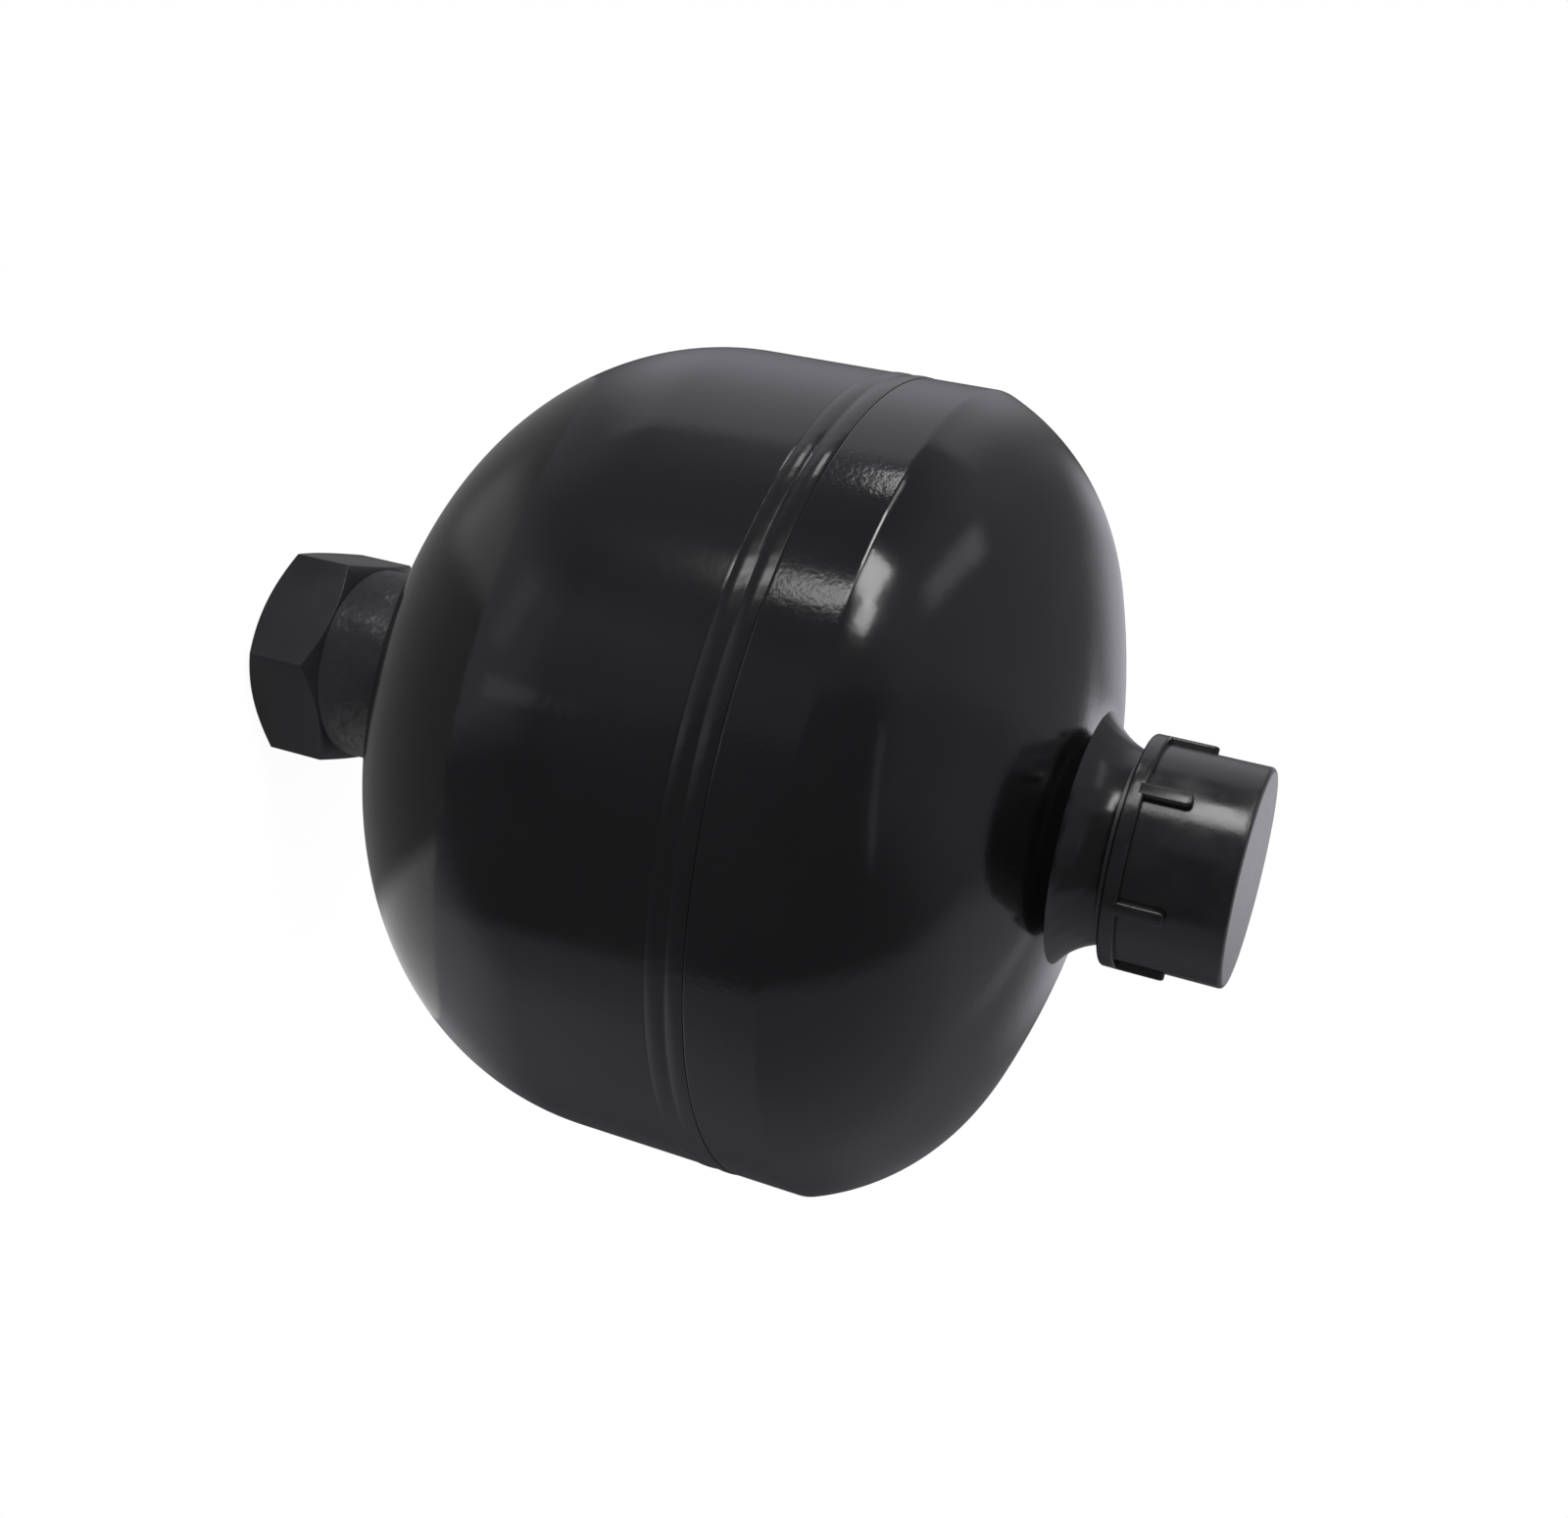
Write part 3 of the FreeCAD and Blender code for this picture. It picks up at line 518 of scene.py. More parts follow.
# The cap's end face: painted paler, as a painted highlight of the light it faces, and rougher.
paint_light_on_end_face(CAP_PLASTIC, PLACE.cap_rim + SIZE.cap_length, (0.16, 0.16, 0.165), 0.4)
SEAL_RUBBER = coated("seal_rubber", ([0.020] * 3, [0.032] * 3), (0.5, 0.65), 1200.0, 0.00002)
DIAPHRAGM_RUBBER = coated("diaphragm_rubber", ([0.026] * 3, [0.042] * 3), (0.55, 0.7), 800.0,
                          0.00004)

# Geometry trees for what repeats. Ripples wander by the jitter, in radians, and lean by radians
# a metre; a thread's flank runs from crest to root in shares of its pitch.
RIPPLE_JITTER, RIPPLE_LEAN = 6.0, 900.0
THREAD_CREST, THREAD_ROOT = 0.08, 0.42


def geometry_group(name, **inputs):
    """A geometry tree that takes and gives a mesh, with a material and other inputs by type."""
    sockets = {"Geometry": ("Geometry", None), "Material": ("Material", None)}
    sockets.update((label.replace("_", " "), (kind, None)) for label, kind in inputs.items())
    return new_group(name, "GeometryNodeTree", sockets, {"Geometry": "Geometry"})


def dress_geometry(tree, geometry, given, made):
    """Give a tree's mesh its material and hand it out."""
    dress = add_node(tree, "GeometryNodeSetMaterial",
                     {"Geometry": geometry, "Material": given.outputs["Material"]})
    tree.links.new(dress.outputs[0], made.inputs["Geometry"])


def run_geometry(thing, tree, values):
    """Run a geometry tree on an object with its inputs set by name, and keep the result."""
    modifier = thing.modifiers.new(tree.name, "NODES")
    modifier.node_group = tree
    for item in tree.interface.items_tree:
        if item.item_type == "SOCKET" and item.in_out == "INPUT" and item.name in values:
            modifier[item.identifier] = values[item.name]
    graph = bpy.context.evaluated_depsgraph_get()
    result = bpy.data.meshes.new_from_object(thing.evaluated_get(graph))
    thing.modifiers.clear()
    thing.data = result


def round_axis(tree):
    """A point's place, height, angle round the axis and the vector to it from the axis."""
    place = tree.nodes.new("GeometryNodeInputPosition").outputs[0]
    split = add_node(tree, "ShaderNodeSeparateXYZ", {"Vector": place})
    x, y = split.outputs["X"], split.outputs["Y"]
    across = add_node(tree, "ShaderNodeCombineXYZ", {"X": x, "Y": y}).outputs[0]
    return place, split.outputs["Z"], calculate(tree, "ARCTAN2", y, x), across


def push(tree, given, way, amount):
    """The given mesh with its points moved by an amount along a direction."""
    offset = add_node(tree, "ShaderNodeVectorMath", operation="SCALE")
    tree.links.new(way, offset.inputs[0])
    tree.links.new(amount, offset.inputs["Scale"])
    return add_node(tree, "GeometryNodeSetPosition", {
        "Geometry": given.outputs["Geometry"], "Offset": offset.outputs[0]}).outputs[0]


def weld_ripple_tree():
    """Ripples along a weld bead that runs round the axis, on its outer skin only."""
    tree, given, made = geometry_group("weld_ripples", Ripple_Count="Float", Ripple_Height="Float",
                                       Unevenness="Float", Seed="Float", Skin_Radius="Float")
    place, height, angle, across = round_axis(tree)
    noise = add_node(tree, "ShaderNodeTexNoise", {
        "Vector": place, "W": given.outputs["Seed"], "Scale": 110.0, "Detail": 1.0},
        noise_dimensions="4D")
    jitter = product(tree, noise.outputs["Fac"], given.outputs["Unevenness"], RIPPLE_JITTER)
    phase = total(tree, product(tree, angle, given.outputs["Ripple Count"]), jitter,
                  product(tree, height, RIPPLE_LEAN))
    skin = calculate(tree, "GREATER_THAN", combine(tree, "LENGTH", across),
                     given.outputs["Skin Radius"])
    amount = product(tree, calculate(tree, "SINE", phase), given.outputs["Ripple Height"], skin)
    normal = tree.nodes.new("GeometryNodeInputNormal").outputs[0]
    dress_geometry(tree, push(tree, given, normal, amount), given, made)
    return tree


def cap_rib_tree():
    """Grip ribs set evenly round the cap's cup."""
    tree, given, made = geometry_group("cap_ribs", Rib="Object", Rib_Count="Int", Turn="Float")
    count = given.outputs["Rib Count"]
    spots = add_node(tree, "GeometryNodePoints", {"Count": count})
    share = calculate(tree, "DIVIDE", tree.nodes.new("GeometryNodeInputIndex").outputs[0], count)
    angle = total(tree, product(tree, share, 2 * math.pi), given.outputs["Turn"])
    turn = add_node(tree, "ShaderNodeCombineXYZ", {"Z": angle})
    rib = add_node(tree, "GeometryNodeObjectInfo", {"Object": given.outputs["Rib"]})
    ribs = add_node(tree, "GeometryNodeInstanceOnPoints", {
        "Points": spots.outputs[0], "Instance": rib.outputs["Geometry"],
        "Rotation": turn.outputs[0]})
    real = add_node(tree, "GeometryNodeRealizeInstances", {"Geometry": ribs.outputs[0]})
    both = tree.nodes.new("GeometryNodeJoinGeometry")
    tree.links.new(real.outputs[0], both.inputs[0])
    tree.links.new(given.outputs["Geometry"], both.inputs[0])
    dress_geometry(tree, both.outputs[0], given, made)
    return tree


def port_thread_tree():
    """Cut a helical thread into a bore's wall, faded out over one pitch at both ends."""
    tree, given, made = geometry_group("port_thread", Pitch="Float", Depth="Float",
                                       Start="Float", End="Float")
    start, end, pitch = (given.outputs[name] for name in ("Start", "End", "Pitch"))
    _, height, angle, across = round_axis(tree)
    turns = calculate(tree, "SUBTRACT", calculate(tree, "DIVIDE", height, pitch),
                      calculate(tree, "DIVIDE", angle, 2 * math.pi))
    groove = between(tree, calculate(tree, "PINGPONG", turns, 0.5), THREAD_CREST, THREAD_ROOT)
    fade_in = between(tree, height, start, total(tree, start, pitch))
    fade_out = falling(tree, height, calculate(tree, "SUBTRACT", end, pitch), end)
    amount = product(tree, groove, given.outputs["Depth"], fade_in, fade_out)
    outward = combine(tree, "NORMALIZE", across)
    dress_geometry(tree, push(tree, given, outward, amount), given, made)
    return tree


def lower_shell_outline():
    p, dome = PLACE, PLACE.fluid_dome
    wall = SIZE.shell_wall
    return section([
        (p.port_hole_radius, p.port_land),
        (p.neck_radius, p.port_land, dome.crown, LEFT),
        (*dome.join(), dome.knuckle, LEFT),
        (p.radius, dome.base),
        (p.radius, p.weld_bottom),
        (p.root_radius, p.seam),
        (p.recess_radius, p.seam),
        (p.recess_radius, p.recess_bottom),
        (p.bore_radius, p.recess_bottom),
        (p.bore_radius, dome.base, dome.knuckle - wall, RIGHT),
        (*dome.join(wall), dome.crown - wall, RIGHT),
        (p.port_hole_radius, dome.crown_height(p.port_hole_radius, wall)),
    ])


def upper_shell_outline():
    p, dome = PLACE, PLACE.gas_dome
    wall = SIZE.shell_wall
    return section([
        (p.recess_radius, p.seam),
        (p.root_radius, p.seam),
        (p.radius, p.weld_top),
        (p.radius, p.band_edge, dome.knuckle, LEFT),
        (*dome.join(), dome.crown, LEFT),
        (p.boss_radius, p.boss_land),
        (p.boss_hole_radius, p.boss_land),
        (p.boss_hole_radius, dome.crown_height(p.boss_hole_radius, wall), dome.crown - wall, RIGHT),
        (*dome.join(wall), dome.knuckle - wall, RIGHT),
        (p.bore_radius, dome.knuckle_height(p.bore_radius, wall)),
        (p.bore_radius, p.recess_top),
        (p.recess_radius, p.recess_top),
    ])


def girth_weld_outline():
    p = PLACE
    half = SIZE.girth_weld_groove_width / 2
    return section([
        (p.root_radius, p.seam),
        (p.radius, p.weld_bottom, PAINTED_BEAD_RADIUS, LEFT),
        (p.radius, p.seam - half),
        (p.radius - PAINTED_GROOVE_DEPTH, p.seam),
        (p.radius, p.seam + half, PAINTED_BEAD_RADIUS, LEFT),
        (p.radius, p.weld_top),
    ], step=3.0)


def port_weld_outline():
    p, dome = PLACE, PLACE.fluid_dome
    toe = p.neck_radius + SIZE.port_weld_leg
    return section([
        (p.neck_radius, p.port_land, dome.crown, LEFT),
        (toe, dome.crown_height(toe), SIZE.port_weld_leg * 2, RIGHT),
        (p.neck_radius, p.port_land - SIZE.port_weld_leg),
    ], step=4.0)


def boss_weld_outline():
    p, dome = PLACE, PLACE.gas_dome
    toe = p.boss_radius + SIZE.boss_weld_leg
    return section([
        (p.boss_radius, p.boss_land, dome.crown, RIGHT),
        (toe, dome.crown_height(toe), SIZE.boss_weld_hollow, RIGHT),
        (p.boss_radius, p.boss_land + SIZE.boss_weld_height),
    ], step=3.0)


def gas_boss_outline():
    p = PLACE
    thread_radius = SIZE.boss_thread_diameter / 2
    screw_hole = SIZE.screw_thread_diameter / 2 + SIZE.thread_gap
    counterbore = SIZE.screw_head_diameter / 2 + SIZE.boss_counterbore_gap
    return [
        (screw_hole, p.boss_bottom),
        (p.boss_spigot_radius, p.boss_bottom),
        (p.boss_spigot_radius, p.boss_land),
        (p.boss_radius, p.boss_land),
        (p.boss_radius, p.cap_seat),
        (thread_radius, p.cap_seat),
        (thread_radius, p.boss_top - SIZE.boss_thread_chamfer),
        (thread_radius - SIZE.boss_thread_chamfer, p.boss_top),
        (counterbore, p.boss_top),
        (counterbore, p.screw_floor),
        (screw_hole, p.screw_floor),
    ]


def cap_outline():
    bore = PLACE.cap_bore_radius
    wall = bore + SIZE.cap_wall
    lip = wall + SIZE.cap_lip_height
    edge, lip_edge = SIZE.cap_edge_radius, SIZE.cap_lip_edge
    base, length = PLACE.cap_rim, SIZE.cap_length
    corners = [
        (bore, 0),
        (lip - lip_edge, 0, lip_edge, LEFT),
        (lip, lip_edge),
        (lip, SIZE.cap_lip_length - lip_edge, lip_edge, LEFT),
        (lip - lip_edge, SIZE.cap_lip_length),
        (wall, SIZE.cap_lip_length),
        (wall, length - edge, edge, LEFT),
        (wall - edge, length),
        (0, length),
        (0, length - SIZE.cap_end_wall),
        (bore, length - SIZE.cap_end_wall),
    ]
    return [(radius, height + base) for radius, height in section(corners, step=12.0)]


def diaphragm_outline():
    """The diaphragm as charged: its rim's bead held high, its skin down on the lower shell."""
    p, s, dome = PLACE, SIZE, PLACE.fluid_dome
    gap = s.fit_gap
    outside = s.shell_wall + s.membrane_gap
    inside = outside + s.membrane_thickness
    skin = p.bore_radius - s.membrane_gap
    plate = s.button_diameter / 2 + gap
    stem = s.button_stem_diameter / 2 + gap
    anchor = s.button_anchor_diameter / 2 + gap
    boss_top = p.anchor_top + s.diaphragm_boss_cover
    boss_foot = s.diaphragm_boss_top_diameter / 2 + s.diaphragm_boss_foot
    underside = p.port_top + s.membrane_gap
    lower_crown = dome.crown - outside
    flat_edge = math.sqrt(lower_crown ** 2 - (dome.centre - underside) ** 2)
    return section([
        (p.recess_radius - gap, p.recess_bottom),
        (p.recess_radius - gap, p.bead_top),
        (p.bead_inside, p.bead_top),
        (p.bead_inside, dome.base, dome.knuckle - inside, RIGHT),
        (*dome.join(inside), dome.crown - inside, RIGHT),
        (boss_foot, dome.crown_height(boss_foot, inside)),
        (s.diaphragm_boss_top_diameter / 2, boss_top),
        (0, boss_top),
        (0, p.anchor_top + gap),
        (anchor, p.anchor_top + gap),
        (anchor, p.anchor_bottom - gap),
        (stem, p.anchor_bottom - gap),
        (stem, p.button_top + gap),
        (plate, p.button_top + gap),
        (plate, underside),
        (flat_edge, underside, lower_crown, LEFT),
        (*dome.join(outside), dome.knuckle - outside, LEFT),
        (skin, dome.base),
        (skin, p.recess_bottom),
    ])


def oil_port_mesh():
    """Hexagon with both ends turned to a cone, neck and spigot; the thread's wall is left out."""
    p, s = PLACE, SIZE
    half_flats = s.hexagon_across_flats / 2
    face = half_flats - s.hexagon_face_step
    slope = math.tan(math.radians(s.hexagon_chamfer_angle))
    thread_radius = s.port_thread_minor_diameter / 2
    flow_radius = s.port_flow_diameter / 2
    thread_end = s.port_mouth_chamfer + s.port_thread_length
    drill = (thread_radius - flow_radius) / math.tan(math.radians(s.port_drill_angle / 2))
    outline = [
        (thread_radius, s.port_mouth_chamfer),
        (thread_radius + s.port_mouth_chamfer, 0),
        (face, 0),
        (half_flats, 0),
        (half_flats, s.hexagon_length),
        (face, s.hexagon_length),
        (p.neck_radius, s.hexagon_length),
        (p.neck_radius, p.port_land),
        (p.port_spigot_radius, p.port_land),
        (p.port_spigot_radius, p.port_top),
        (p.seat_radius, p.port_top),
        (p.seat_radius, p.seat),
        (flow_radius, p.seat),
        (flow_radius, thread_end + drill),
        (thread_radius, thread_end),
    ]
    lower_rim, upper_rim = 3, 4

    def bend_to_hexagon(number, radius, height, angle):
        if number not in (lower_rim, upper_rim):
            return radius, height
        off_flat = (angle + math.pi / 6) % (math.pi / 3) - math.pi / 6
        out = half_flats / math.cos(off_flat)
        drop = (out - face) * slope
        return out, height + drop if number == lower_rim else height - drop

    return turned_mesh("oil_port", outline, closed=False, bend=bend_to_hexagon)


def make_turned_piece(name, outline, softening, material):
    mesh = turned_mesh(name, outline)
    soften_edges(mesh, softening)
    shade(mesh)
    mesh.materials.append(material)
    return new_object(name, mesh)


def make_weld(name, outline, tree, count, height, unevenness, seed, skin_radius):
    piece = new_object(name, turned_mesh(name, outline, segments=WELD_SEGMENTS))
    run_geometry(piece, tree, {
        "Ripple Count": count, "Ripple Height": height * MM, "Unevenness": unevenness,
        "Seed": seed, "Skin Radius": skin_radius * MM, "Material": WELD_PAINT})
    shade(piece.data, 50.0)
    return piece


def make_oil_port(thread_tree):
    body = new_object("oil_port", oil_port_mesh())
    body.data.materials.append(PORT_PAINT)
    radius = SIZE.port_thread_minor_diameter / 2
    start = SIZE.port_mouth_chamfer
    end = start + SIZE.port_thread_length
    wall = [(radius, start + (end - start) * row / THREAD_ROWS) for row in range(THREAD_ROWS + 1)]
    thread = new_object("port_thread", turned_mesh("port_thread", wall, closed=False))
    run_geometry(thread, thread_tree, {
        "Pitch": SIZE.port_thread_pitch * MM, "Depth": SIZE.port_thread_depth * MM,
        "Start": start * MM, "End": end * MM, "Material": STEEL})
    bpy.ops.object.select_all(action="DESELECT")
    thread.select_set(True)
    body.select_set(True)
    bpy.context.view_layer.objects.active = body
    bpy.ops.object.join()
    form = open_mesh(body.data)
    bmesh.ops.remove_doubles(form, verts=form.verts, dist=0.002 * MM)
    bmesh.ops.recalc_face_normals(form, faces=form.faces)
    write_mesh(form, body.data)
    soften_edges(body.data, PORT_SOFTENING, angle=40.0)
    shade(body.data, 45.0)
    return body


def cap_rib_mesh():
    """One rib on +X: a bar from the lip towards the cap's face, its outer end rounded."""
    root = PLACE.cap_bore_radius + SIZE.cap_wall / 2
    top = PLACE.cap_bore_radius + SIZE.cap_wall + SIZE.cap_lip_height
    half = SIZE.cap_rib_width / 2
    low = PLACE.cap_rim + SIZE.cap_lip_length / 2
    high = PLACE.cap_rim + SIZE.cap_lip_length + SIZE.cap_rib_length
    plan = [(-half, low), (half, low)]
    corner = half * RIB_CORNER_SHARE
    for centre, first in ((half - corner, 0), (corner - half, math.pi / 2)):
        for step in range(RIB_CORNER_STEPS + 1):
            angle = first + math.pi / 2 * step / RIB_CORNER_STEPS
            plan.append((centre + corner * math.cos(angle),
                         high - corner + corner * math.sin(angle)))
    form = bmesh.new()
    lower = [form.verts.new((root * MM, y * MM, z * MM)) for y, z in plan]
    upper = [form.verts.new((top * MM, y * MM, z * MM)) for y, z in plan]
    form.faces.new(lower)
    form.faces.new(upper)
    bridge(form, lower, upper)
    bmesh.ops.recalc_face_normals(form, faces=form.faces)
    rim = [edge for edge in form.edges
           if all(vert.co.x > (top - 0.01) * MM for vert in edge.verts)]
    bmesh.ops.bevel(form, geom=rim, offset=RIB_SOFTENING * MM, segments=3, profile=0.5,
                    affect="EDGES")
    mesh = write_mesh(form, bpy.data.meshes.new("cap_rib"))
    shade(mesh, 40.0)
    return mesh


def make_cap(rib_tree):
    mesh = turned_mesh("screw_cap", cap_outline())
    shade(mesh, 40.0)
    cap = new_object("screw_cap", mesh)
    rib = new_object("cap_rib_pattern", cap_rib_mesh())
    run_geometry(cap, rib_tree, {"Rib": rib, "Rib Count": SIZE.cap_rib_count,
                                 "Turn": math.radians(SIZE.cap_turn), "Material": CAP_PLASTIC})
    bpy.data.objects.remove(rib)
    return cap


def make_diaphragm():
    """The rubber diaphragm, turned from its outline as charged and held at its bead."""
    mesh = turned_mesh("rubber_diaphragm", diaphragm_outline(), segments=DIAPHRAGM_SEGMENTS)
    shade(mesh)
    mesh.materials.append(DIAPHRAGM_RUBBER)
    piece = new_object("rubber_diaphragm", mesh)
    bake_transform(piece)
    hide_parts("diaphragm")


def dress_node(name, material):
    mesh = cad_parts[name].data
    mesh.materials.clear()
    mesh.materials.append(material)


def make_pieces():
    """All pieces of the looks; a weld's numbers are ripples, height, unevenness, seed, radius."""
    ripples = weld_ripple_tree()
    seam = make_weld("girth_weld_bead", girth_weld_outline(), ripples,
                     150.0, 0.006, 0.9, 3.0, PLACE.radius - 0.2)
    port_bead = make_weld("oil_port_weld_bead", port_weld_outline(), ripples,
                          44.0, 0.04, 1.0, 8.0, PLACE.neck_radius + 0.3)
    boss_bead = make_weld("gas_boss_weld_bead", boss_weld_outline(), ripples,
                          26.0, 0.016, 1.0, 5.0, PLACE.boss_radius + 0.3)
    lower = make_turned_piece("lower_shell", lower_shell_outline(), SHELL_SOFTENING, SHELL_PAINT)
    upper = make_turned_piece("upper_shell", upper_shell_outline(), BAND_SOFTENING, SHELL_PAINT)
    boss = make_turned_piece("gas_connection", gas_boss_outline(), BOSS_SOFTENING, PORT_PAINT)
    port = make_oil_port(port_thread_tree())
    cap = make_cap(cap_rib_tree())
    for piece, node, slot in (
            (lower, "fluid_shell", "black_paint"),
            (upper, "gas_shell", "black_paint"),
            (seam, "girth_weld", "black_paint"),
            (port, "fluid_port", "black_paint"),
            (port_bead, "fluid_port_weld", "black_paint"),
            (boss, "gas_boss", "black_paint"),
            (boss_bead, "gas_boss_weld", "black_paint"),
            (cap, "protective_cap", "black_plastic")):
        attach(piece, "vessel")
        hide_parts(node)
    for name, material in (("charging_screw", STEEL), ("closing_button", STEEL),
                           ("retaining_ring", STEEL), ("charging_screw_seal", SEAL_RUBBER)):
        dress_node(name, material)
    make_diaphragm()


# The camera, as fitted to the vessel's outline; the seam's middle lies this far, in millimetres,
# to the right, down and ahead of it.
PHOTO_WIDTH, FOCAL_PIXELS, SENSOR_WIDTH = 1600.0, 1980.0, 36.0
AZIMUTH, ELEVATION, ROLL = -9.87, 19.23, 103.79
SEAM_RIGHT, SEAM_DOWN, SEAM_AHEAD = 9.87, 3.29, 329.1


def camera_axes():
    """Right, up and back of the camera, rolled so that the vessel lies in the picture."""
    azimuth, elevation = math.radians(AZIMUTH), math.radians(ELEVATION)
    back = Vector((math.sin(azimuth) * math.cos(elevation),
                   -math.cos(azimuth) * math.cos(elevation), math.sin(elevation)))
    level_right = Vector((0, 0, 1)).cross(back).normalized()
    level_up = back.cross(level_right)
    roll = math.radians(ROLL)
    right = level_right * math.cos(roll) + level_up * math.sin(roll)
    up = level_up * math.cos(roll) - level_right * math.sin(roll)
    return right, up, back


RIGHTWARD, UPWARD, BACKWARD = camera_axes()


def make_camera():
    data = bpy.data.cameras.new("photographer")
    data.lens = SENSOR_WIDTH * FOCAL_PIXELS / PHOTO_WIDTH
    data.sensor_width = SENSOR_WIDTH
    data.clip_start, data.clip_end = 0.01, 20.0
    camera = new_object("photographer", data)
    seam = Vector((0, 0, PLACE.seam))
    spot = seam - RIGHTWARD * SEAM_RIGHT + UPWARD * SEAM_DOWN + BACKWARD * SEAM_AHEAD
    turn = Matrix((RIGHTWARD, UPWARD, BACKWARD)).transposed()
    camera.matrix_world = Matrix.Translation(spot * MM) @ turn.to_4x4()
    bpy.context.scene.camera = camera


# Light cards round the camera's axis, as the paint mirrors them. Each one has its angle in the
# picture (middle, half width, softness), its angle away from the camera (from, to, softness of
# both) and a level; angles are in degrees, 0 is right and 90 up in the picture.
LIGHT_CARDS = {
    "table_left": (155, 15, 15, 38, 88, 21, 33, 0.21),
    "table_far_left": (211, 6, 26, 80, 139, 21, 40, 0.29),
    "table_right": (14, 26, 26, 35, 82, 19, 40, 0.145),
    "table_top": (79, 20, 16, 97, 127, 6, 45, 0.43),
    "top_glow": (84, 36, 20, 78, 126, 24, 51, 0.10),
    "side_window": (33, 1.5, 5, 60, 86, 8, 8, 0.75),
    "left_window": (148, 11, 6, 98, 110, 4, 6, 0.22),
    "ceiling_patch": (146, 6, 6, 62, 71, 6, 8, 0.18),
    "shelf_line": (165, 1.5, 2.5, 44, 68, 4, 5, 0.28),
    "table_streak": (188, 1.5, 3, 84, 110, 6, 8, 0.38),
    "right_limb": (1, 27, 15, 132, 200, 20, 10, 0.5),
    "cap_side": (-9, 5, 6, 132, 150, 6, 8, 1.2),
    "lower_right_limb": (-45, 20, 20, 105, 200, 20, 10, 0.08),
    "left_limb": (205, 15, 15, 129, 200, 18, 10, 0.10),
}

# The rest of the room that the paint mirrors. A fade is a range of angles away from the camera;
# a tilt tips the picture's upward direction towards the camera, in degrees, and an edge is the
# range along it, from -1 to 1, in which the light sets in or ends.
ROOM_LEVEL, BACK_LEVEL, ROOM_FADE = 0.17, 0.05, (99, 176)
UPPER_LEVEL, UPPER_TILT, UPPER_EDGE, UPPER_FADE = 0.10, -15.6, (-0.04, 0.07), (113, 176)
TABLE_LEVEL, TABLE_TILT, TABLE_EDGE, TABLE_FADE = 0.21, 28.8, (-0.53, -0.43), (93, 147)
GAP_LEVEL, GAP_SIDE, GAP_EDGE = 0.25, 0.675, (0.012, 0.028)
GAP_FOOT, GAP_HEAD = (-0.50, -0.35), (0.0, 0.10)
ROOM_TINT = (0.99, 0.98, 1.06, 1)
WHITE = (1, 1, 1, 1)


def tilted(angle):
    """The picture's upward direction, tipped towards the camera by an angle in degrees."""
    tip = math.radians(angle)
    return UPWARD * math.cos(tip) + BACKWARD * math.sin(tip)


def along(tree, vector, direction):
    return combine(tree, "DOT_PRODUCT", vector, tuple(direction))


def eased_angle(tree, angle, low, high, start=0.0, end=1.0):
    return between(tree, angle, math.radians(low), math.radians(high), start, end)


def light_card(tree, turn, away, card):
    """Level of one soft-edged card in the mirrored direction."""
    middle, half, soft, near, far, soft_near, soft_far, level = card
    off = calculate(tree, "SUBTRACT", turn, math.radians(middle))
    off = calculate(tree, "ABSOLUTE", calculate(tree, "WRAP", off, -math.pi, math.pi))
    return product(tree, eased_angle(tree, off, half, half + soft, level, 0.0),
                   eased_angle(tree, away, near, near + soft_near),
                   eased_angle(tree, away, far, far + soft_far, 1.0, 0.0))


def room_level(tree, way):
    """Brightness of the room in a direction: walls, table, the gap of a doorway and the cards."""
    beside, over = along(tree, way, RIGHTWARD), along(tree, way, UPWARD)
    turn = calculate(tree, "ARCTAN2", over, beside)
    away = calculate(tree, "ARCCOSINE", along(tree, way, BACKWARD))
    room = eased_angle(tree, away, *ROOM_FADE, ROOM_LEVEL, BACK_LEVEL)
    upper = product(tree, between(tree, along(tree, way, tilted(UPPER_TILT)), *UPPER_EDGE,
                                  0.0, UPPER_LEVEL),
                    eased_angle(tree, away, *UPPER_FADE, 1.0, 0.0))
    table = product(tree, between(tree, along(tree, way, tilted(TABLE_TILT)), *TABLE_EDGE,
                                  TABLE_LEVEL, 0.0),
                    eased_angle(tree, away, *TABLE_FADE, 1.0, 0.0))
    off_gap = calculate(tree, "ABSOLUTE", calculate(tree, "SUBTRACT", beside, GAP_SIDE))
    gap = product(tree, between(tree, off_gap, *GAP_EDGE, GAP_LEVEL, 0.0),
                  between(tree, over, *GAP_FOOT), falling(tree, over, *GAP_HEAD))
    cards = (light_card(tree, turn, away, card) for card in LIGHT_CARDS.values())
    return total(tree, room, upper, table, gap, *cards)


def seen_directly(tree, rays):
    return calculate(tree, "MAXIMUM", rays.outputs["Is Camera Ray"],
                     rays.outputs["Is Transmission Ray"])


def mix_shaders(tree, factor, first, second):
    node = tree.nodes.new("ShaderNodeMixShader")
    for socket, value in zip(node.inputs, (factor, first, second)):
        tree.links.new(value, socket)
    return node.outputs[0]


def make_studio():
    """White all round for the camera; reflections see a dim room, a pale table and the cards."""
    bpy.context.scene.world = bpy.data.worlds.new("studio")
    tree = emptied_nodes(bpy.context.scene.world)
    level = room_level(tree, tree.nodes.new("ShaderNodeTexCoord").outputs["Generated"])
    glow = add_node(tree, "ShaderNodeBackground", {"Color": ROOM_TINT, "Strength": level})
    white = add_node(tree, "ShaderNodeBackground", {"Color": WHITE, "Strength": 1.0})
    seen = seen_directly(tree, tree.nodes.new("ShaderNodeLightPath"))
    add_node(tree, "ShaderNodeOutputWorld", {
        "Surface": mix_shaders(tree, seen, glow.outputs[0], white.outputs[0])})


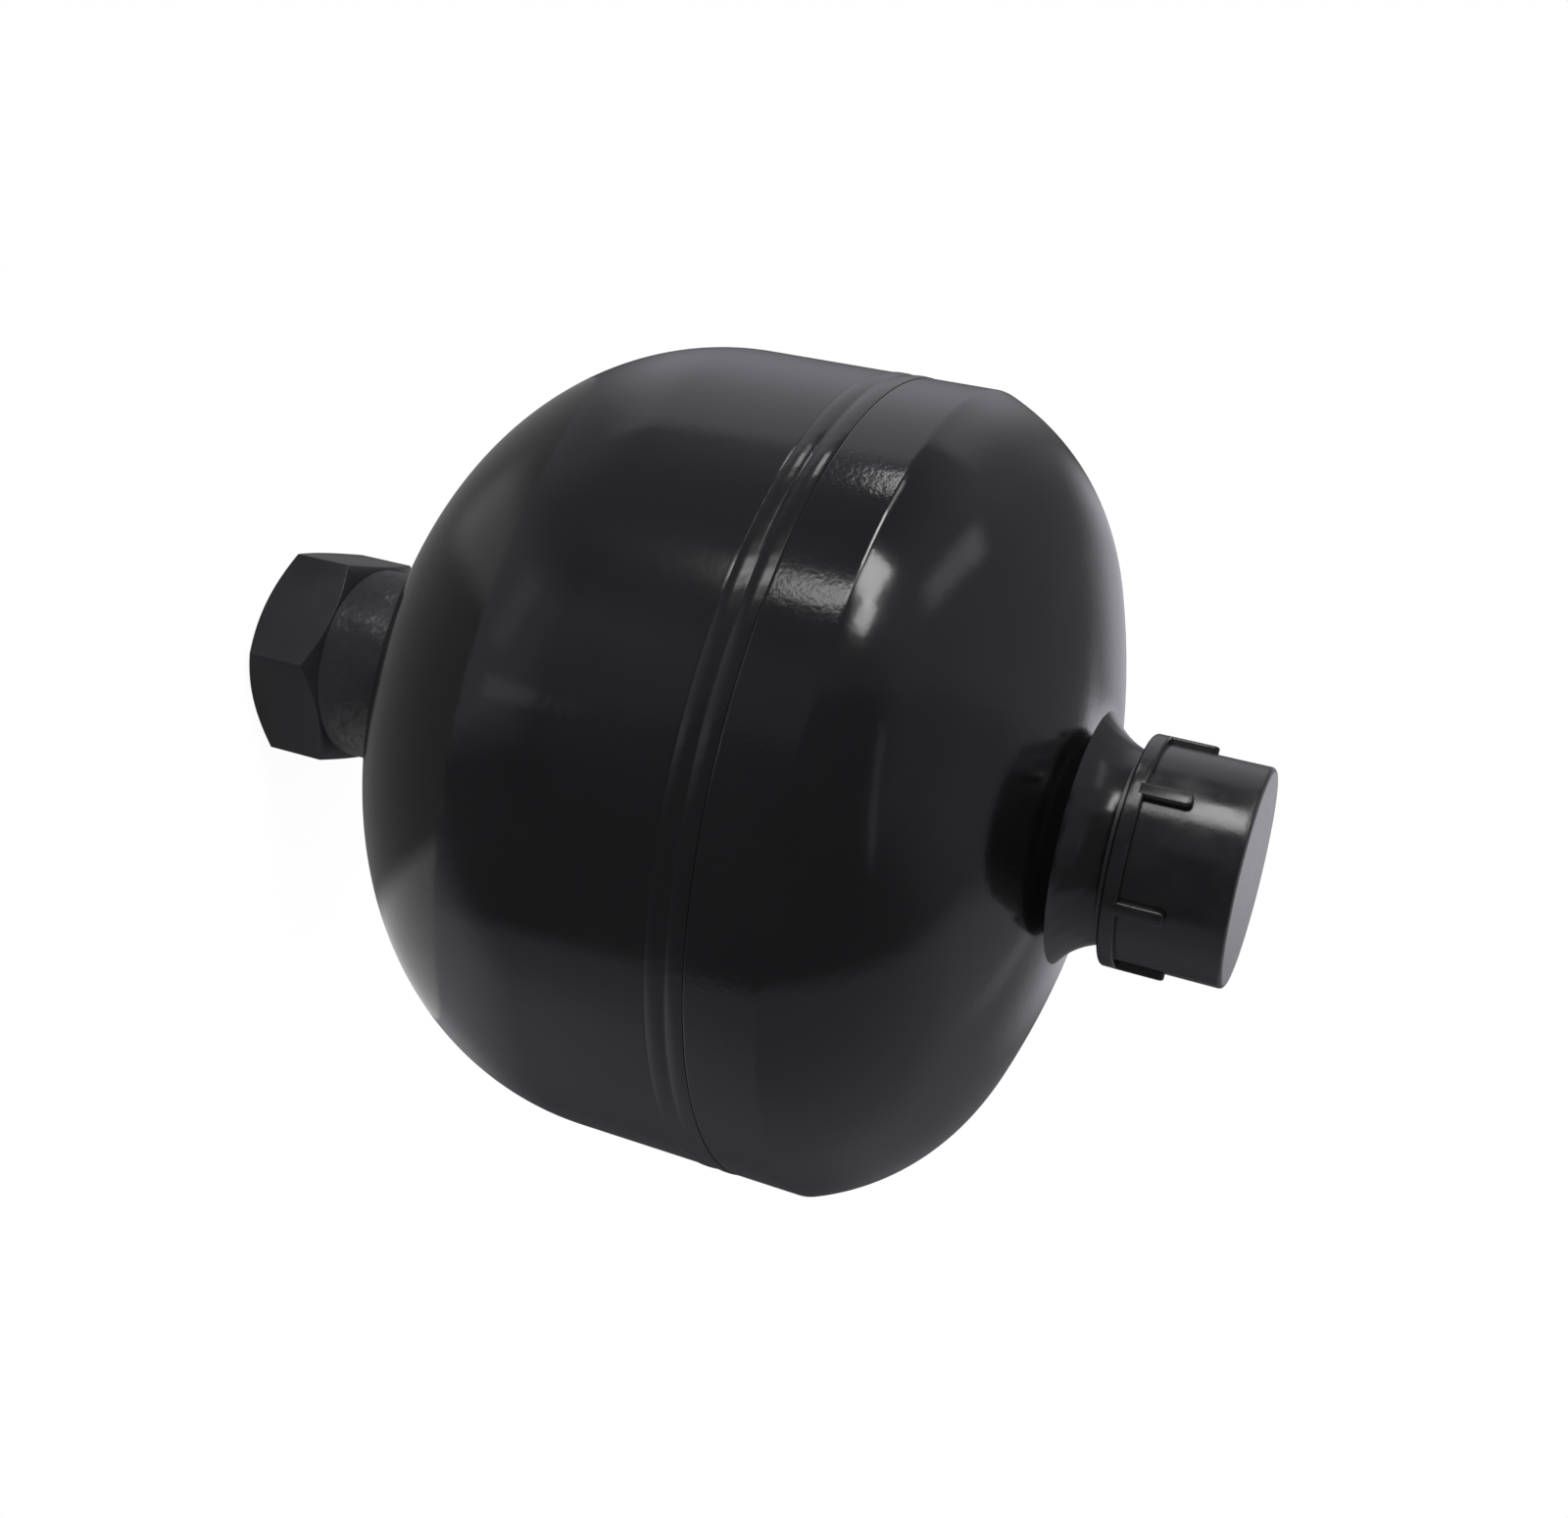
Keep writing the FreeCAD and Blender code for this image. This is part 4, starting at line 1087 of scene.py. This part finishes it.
# Lamps that the paint mirrors as windows. Each one has the spot that mirrors it (radius and
# height above the seam, in millimetres), the direction it is seen in from there (degrees turned
# round the vessel from the camera and raised towards the cap), its half width and height in
# degrees, its distance in millimetres and its brightness.
LAMPS = {
    "window_foot": ((68, 8), (47.0, -18.4), (3.4, 2.5), 1200, 5.5),
    "tall_window": ((68, 8), (47.0, -5.6), (2.4, 10.5), 1200, 8.0),
    "window_tail": ((68, 8), (47.0, 32.0), (4.0, 3.4), 1200, 8.0),
    "window_head": ((68, 8), (57.0, 26.0), (6.0, 6.5), 1200, 9.0),
    "far_window": ((68, 8), (86.0, -13.8), (4.0, 4.2), 1200, 4.2),
    "window_pane": ((68, 14), (68.0, 9.0), (18.0, 5.0), 1200, 2.8),
    "cap_window": ((18, 62), (58.0, -6.0), (9.0, 5.0), 250, 9.0),
}


def make_lamps():
    forward = Vector((BACKWARD.x, BACKWARD.y, 0)).normalized()
    beside = forward.cross(Vector((0, 0, 1)))
    for name, (spot, way, half_sizes, distance, level) in LAMPS.items():
        turn, lift = (math.radians(angle) for angle in way)
        place = (forward * math.cos(turn / 2) + beside * math.sin(turn / 2)) * spot[0]
        place.z = PLACE.seam + spot[1]
        aim = (forward * math.cos(turn) + beside * math.sin(turn)) * math.cos(lift)
        aim.z = math.sin(lift)
        data = bpy.data.lights.new(name, "AREA")
        data.shape = "RECTANGLE"
        data.size, data.size_y = (2 * distance * MM * math.tan(math.radians(half))
                                  for half in half_sizes)
        data.energy = level * math.pi * data.size * data.size_y
        lamp = new_object(name, data)
        lamp.location = (place + aim * distance) * MM
        lamp.rotation_mode = "QUATERNION"
        lamp.rotation_quaternion = aim.to_track_quat("Z", "Y")


# The table under the vessel, in millimetres: seen almost white, mirrored dim but for two patches
# (up and ahead in the picture), and grey for the light that it gives back.
FLOOR_RADIUS, FLOOR_DROP, FLOOR_CORNERS = 105.0, 0.05, 96
FLOOR_SEEN, FLOOR_MIRRORED, FLOOR_GREY = 0.93, 0.12, 0.35
NEAR_PATCH_FOOT, NEAR_PATCH_HEAD, NEAR_PATCH_AHEAD = (35.0, 50.0), (62.0, 90.0), (20.0, 45.0)
NEAR_PATCH_LEVEL, LOW_PATCH_HEAD, LOW_PATCH_LEVEL = 0.35, (-62.0, -50.0), 0.5


def metres(lengths):
    return [length * MM for length in lengths]


def floor_material():
    """Glows white for the camera and dim in mirrors; seen from below it isn't there."""
    material = bpy.data.materials.new("white_table")
    tree = emptied_nodes(material)
    rays = tree.nodes.new("ShaderNodeLightPath")
    place = tree.nodes.new("ShaderNodeTexCoord").outputs["Object"]
    over, ahead = along(tree, place, UPWARD), along(tree, place, BACKWARD)
    near_patch = product(tree, between(tree, over, *metres(NEAR_PATCH_FOOT)),
                         falling(tree, over, *metres(NEAR_PATCH_HEAD)),
                         between(tree, ahead, *metres(NEAR_PATCH_AHEAD), 0.0, NEAR_PATCH_LEVEL))
    low_patch = between(tree, over, *metres(LOW_PATCH_HEAD), LOW_PATCH_LEVEL, 0.0)
    mirrored = product(tree, rays.outputs["Is Glossy Ray"],
                       total(tree, near_patch, low_patch, FLOOR_MIRRORED))
    strength = total(tree, product(tree, seen_directly(tree, rays), FLOOR_SEEN), mirrored)
    glow = add_node(tree, "ShaderNodeEmission", {"Color": WHITE, "Strength": strength})
    matt = add_node(tree, "ShaderNodeBsdfDiffuse", {"Color": (*[FLOOR_GREY] * 3, 1)})
    both = tree.nodes.new("ShaderNodeAddShader")
    tree.links.new(glow.outputs[0], both.inputs[0])
    tree.links.new(matt.outputs[0], both.inputs[1])
    under = tree.nodes.new("ShaderNodeNewGeometry").outputs["Backfacing"]
    clear = tree.nodes.new("ShaderNodeBsdfTransparent")
    add_node(tree, "ShaderNodeOutputMaterial", {
        "Surface": mix_shaders(tree, under, both.outputs[0], clear.outputs[0])})
    return material


def make_floor():
    form = bmesh.new()
    bmesh.ops.create_circle(form, cap_ends=True, segments=FLOOR_CORNERS, radius=FLOOR_RADIUS * MM,
                            matrix=Matrix.Translation((0, 0, -FLOOR_DROP * MM)))
    for face in form.faces:
        if face.normal.z < 0:
            face.normal_flip()
    floor = new_object("table_top", write_mesh(form, bpy.data.meshes.new("table_top")))
    floor.data.materials.append(floor_material())


make_pieces()
make_camera()
make_studio()
make_lamps()
make_floor()
bpy.context.scene.view_settings.view_transform = "Standard"
